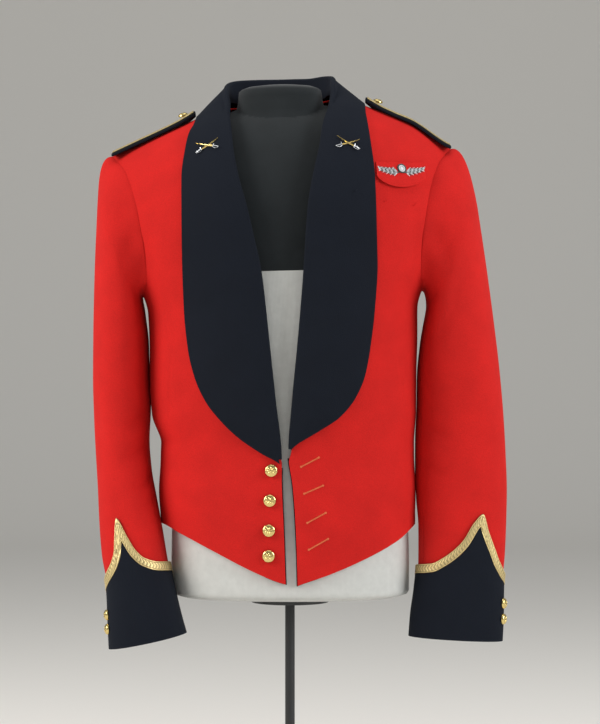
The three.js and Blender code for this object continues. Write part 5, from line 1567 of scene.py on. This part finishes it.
# The backdrop runs back from near, bends up round a curve and stops at its height
BACKDROP = dict(near=-8.0, back=7.0, high=5.0, bend=2.2, half=8.0)


def pointed(made, place, aim):
    """Puts a lamp or the camera in its place and turns it to look at the aim."""
    made.location = place
    made.rotation_euler = (aim - place).to_track_quat("-Z", "Y").to_euler()
    return made


def stage_set():
    scene = bpy.context.scene
    floor = bpy.data.meshes.new("floor")
    bend, half = BACKDROP["bend"], BACKDROP["half"]
    start = BACKDROP["back"] - bend
    profile = [(BACKDROP["near"], 0), (start, 0)]
    profile += [
        (start + bend * math.sin(a), bend * (1 - math.cos(a))) for a in np.linspace(0.1, math.pi / 2, 12)
    ]
    profile.append((BACKDROP["back"], BACKDROP["high"]))
    points = [(x, y, z) for y, z in profile for x in (-half, half)]
    faces = [(2 * i, 2 * i + 1, 2 * i + 3, 2 * i + 2) for i in range(len(profile) - 1)]
    floor.from_pydata(points, [], faces)
    floor.shade_smooth()

    # Background paper, uncoated, so it gives no shine
    paper = material("matt background paper", kit().floor, None, Roughness=0.95, Specular_IOR_Level=0.1)
    floor.materials.append(paper)
    staged = [linked("backdrop", floor)]

    for name, (place, wide, power, tone) in LAMPS.items():
        lamp = bpy.data.lights.new(name, "AREA")
        lamp.shape, lamp.size, lamp.energy, lamp.color = "SQUARE", wide, power, tone
        staged.append(pointed(linked(name, lamp), Vector(place), Vector(LAMP_AIM)))

    world = bpy.data.worlds.new("studio")
    world.use_nodes = True
    sky = next(n for n in world.node_tree.nodes if n.type == "BACKGROUND")
    sky.inputs["Color"].default_value = hexed("F2F4F6")
    sky.inputs["Strength"].default_value = 0.34
    scene.world = world
    scene.view_settings.view_transform = "Standard"

    lens = bpy.data.cameras.new("camera")
    lens.lens = CAMERA["lens"]
    lens.sensor_width = 36
    rise, aim = math.radians(CAMERA["rise"]), Vector(CAMERA["aim"])
    place = aim + CAMERA["away"] * Vector((0, -math.cos(rise), math.sin(rise)))
    scene.camera = pointed(linked("camera", lens), place, aim)


class MESS_OT_fronts(bpy.types.Operator):
    """Builds the two fronts and the two backs of the jacket"""

    bl_idname = "mess_jacket.body"
    bl_label = "Fronts and backs"

    def execute(self, context):
        for side in SIGN:
            panels(side, "front")
            panels(side, "back")
        return {"FINISHED"}


class MESS_OT_sleeves(bpy.types.Operator):
    """Builds the top and under sleeves with their creases"""

    bl_idname = "mess_jacket.sleeves"
    bl_label = "Sleeves"

    def execute(self, context):
        for side in SIGN:
            sleeve(side, "sleeve_top", TOP_SLEEVE, 126)
            sleeve(side, "sleeve_under", UNDER_SLEEVE, 82)
            seam_cord(side)
        return {"FINISHED"}


class MESS_OT_cuffs(bpy.types.Operator):
    """Builds the pointed cuffs and their gold lace"""

    bl_idname = "mess_jacket.cuffs"
    bl_label = "Cuffs and lace"

    def execute(self, context):
        for side in SIGN:
            cuff(side)
        return {"FINISHED"}


class MESS_OT_collar(bpy.types.Operator):
    """Builds the shawl collar and the facings behind the fronts"""

    bl_idname = "mess_jacket.collar"
    bl_label = "Shawl collar and facings"

    def execute(self, context):
        for side in SIGN:
            collar(side)
            facing(side)
        collar_seam()
        return {"FINISHED"}


class MESS_OT_buttons(bpy.types.Operator):
    """Builds the gilt buttons of the front and the cuffs"""

    bl_idname = "mess_jacket.buttons"
    bl_label = "Buttons"

    def execute(self, context):
        buttons()
        return {"FINISHED"}


class MESS_OT_sewing(bpy.types.Operator):
    """Sews the buttonholes and the thread loops"""

    bl_idname = "mess_jacket.sewing"
    bl_label = "Buttonholes and loops"

    def execute(self, context):
        buttonholes()
        thread_loops()
        return {"FINISHED"}


class MESS_OT_badges(bpy.types.Operator):
    """Builds the lapel badges, the breast patch and its embroidery"""

    bl_idname = "mess_jacket.badges"
    bl_label = "Badges"

    def execute(self, context):
        for side in SIGN:
            lapel_badge(side)
        breast_patch()
        breast_badge()
        return {"FINISHED"}


class MESS_OT_boards(bpy.types.Operator):
    """Builds the shoulder boards with their lace and buttons"""

    bl_idname = "mess_jacket.boards"
    bl_label = "Shoulder boards"

    def execute(self, context):
        for side in SIGN:
            board(side)
        return {"FINISHED"}


class MESS_OT_form(bpy.types.Operator):
    """Builds the dress form with its cover, flange, pole and base"""

    bl_idname = "mess_jacket.form"
    bl_label = "Dress form"

    def execute(self, context):
        form_torso()
        form_cover()
        stand_parts()
        return {"FINISHED"}


class MESS_OT_stage(bpy.types.Operator):
    """Sets the backdrop, the soft lights and the camera"""

    bl_idname = "mess_jacket.stage"
    bl_label = "Stage"

    def execute(self, context):
        stage_set()
        return {"FINISHED"}


STEPS = (
    MESS_OT_fronts, MESS_OT_sleeves, MESS_OT_cuffs, MESS_OT_collar, MESS_OT_buttons, MESS_OT_sewing,
    MESS_OT_badges, MESS_OT_boards, MESS_OT_form, MESS_OT_stage,
)


class MESS_PT_jacket(bpy.types.Panel):
    """Sizes, colours and building steps of the jacket"""

    bl_idname = "MESS_PT_jacket"
    bl_label = "Mess jacket"
    bl_space_type = "VIEW_3D"
    bl_region_type = "UI"
    bl_category = "Mess jacket"

    def draw(self, context):
        column = self.layout.column(align=True)
        for key in JacketSettings.__annotations__:
            column.prop(context.scene.mess_jacket, key)
        for step in STEPS:
            column.operator(step.bl_idname)


def register():
    for made in (JacketSettings, *STEPS, MESS_PT_jacket):
        bpy.utils.register_class(made)
    bpy.types.Scene.mess_jacket = bpy.props.PointerProperty(type=JacketSettings)


def unregister():
    del bpy.types.Scene.mess_jacket
    for made in reversed((JacketSettings, *STEPS, MESS_PT_jacket)):
        bpy.utils.unregister_class(made)


def main():
    register()
    for step in STEPS:
        group, name = step.bl_idname.split(".")
        getattr(getattr(bpy.ops, group), name)()


if __name__ == "__main__":
    main()
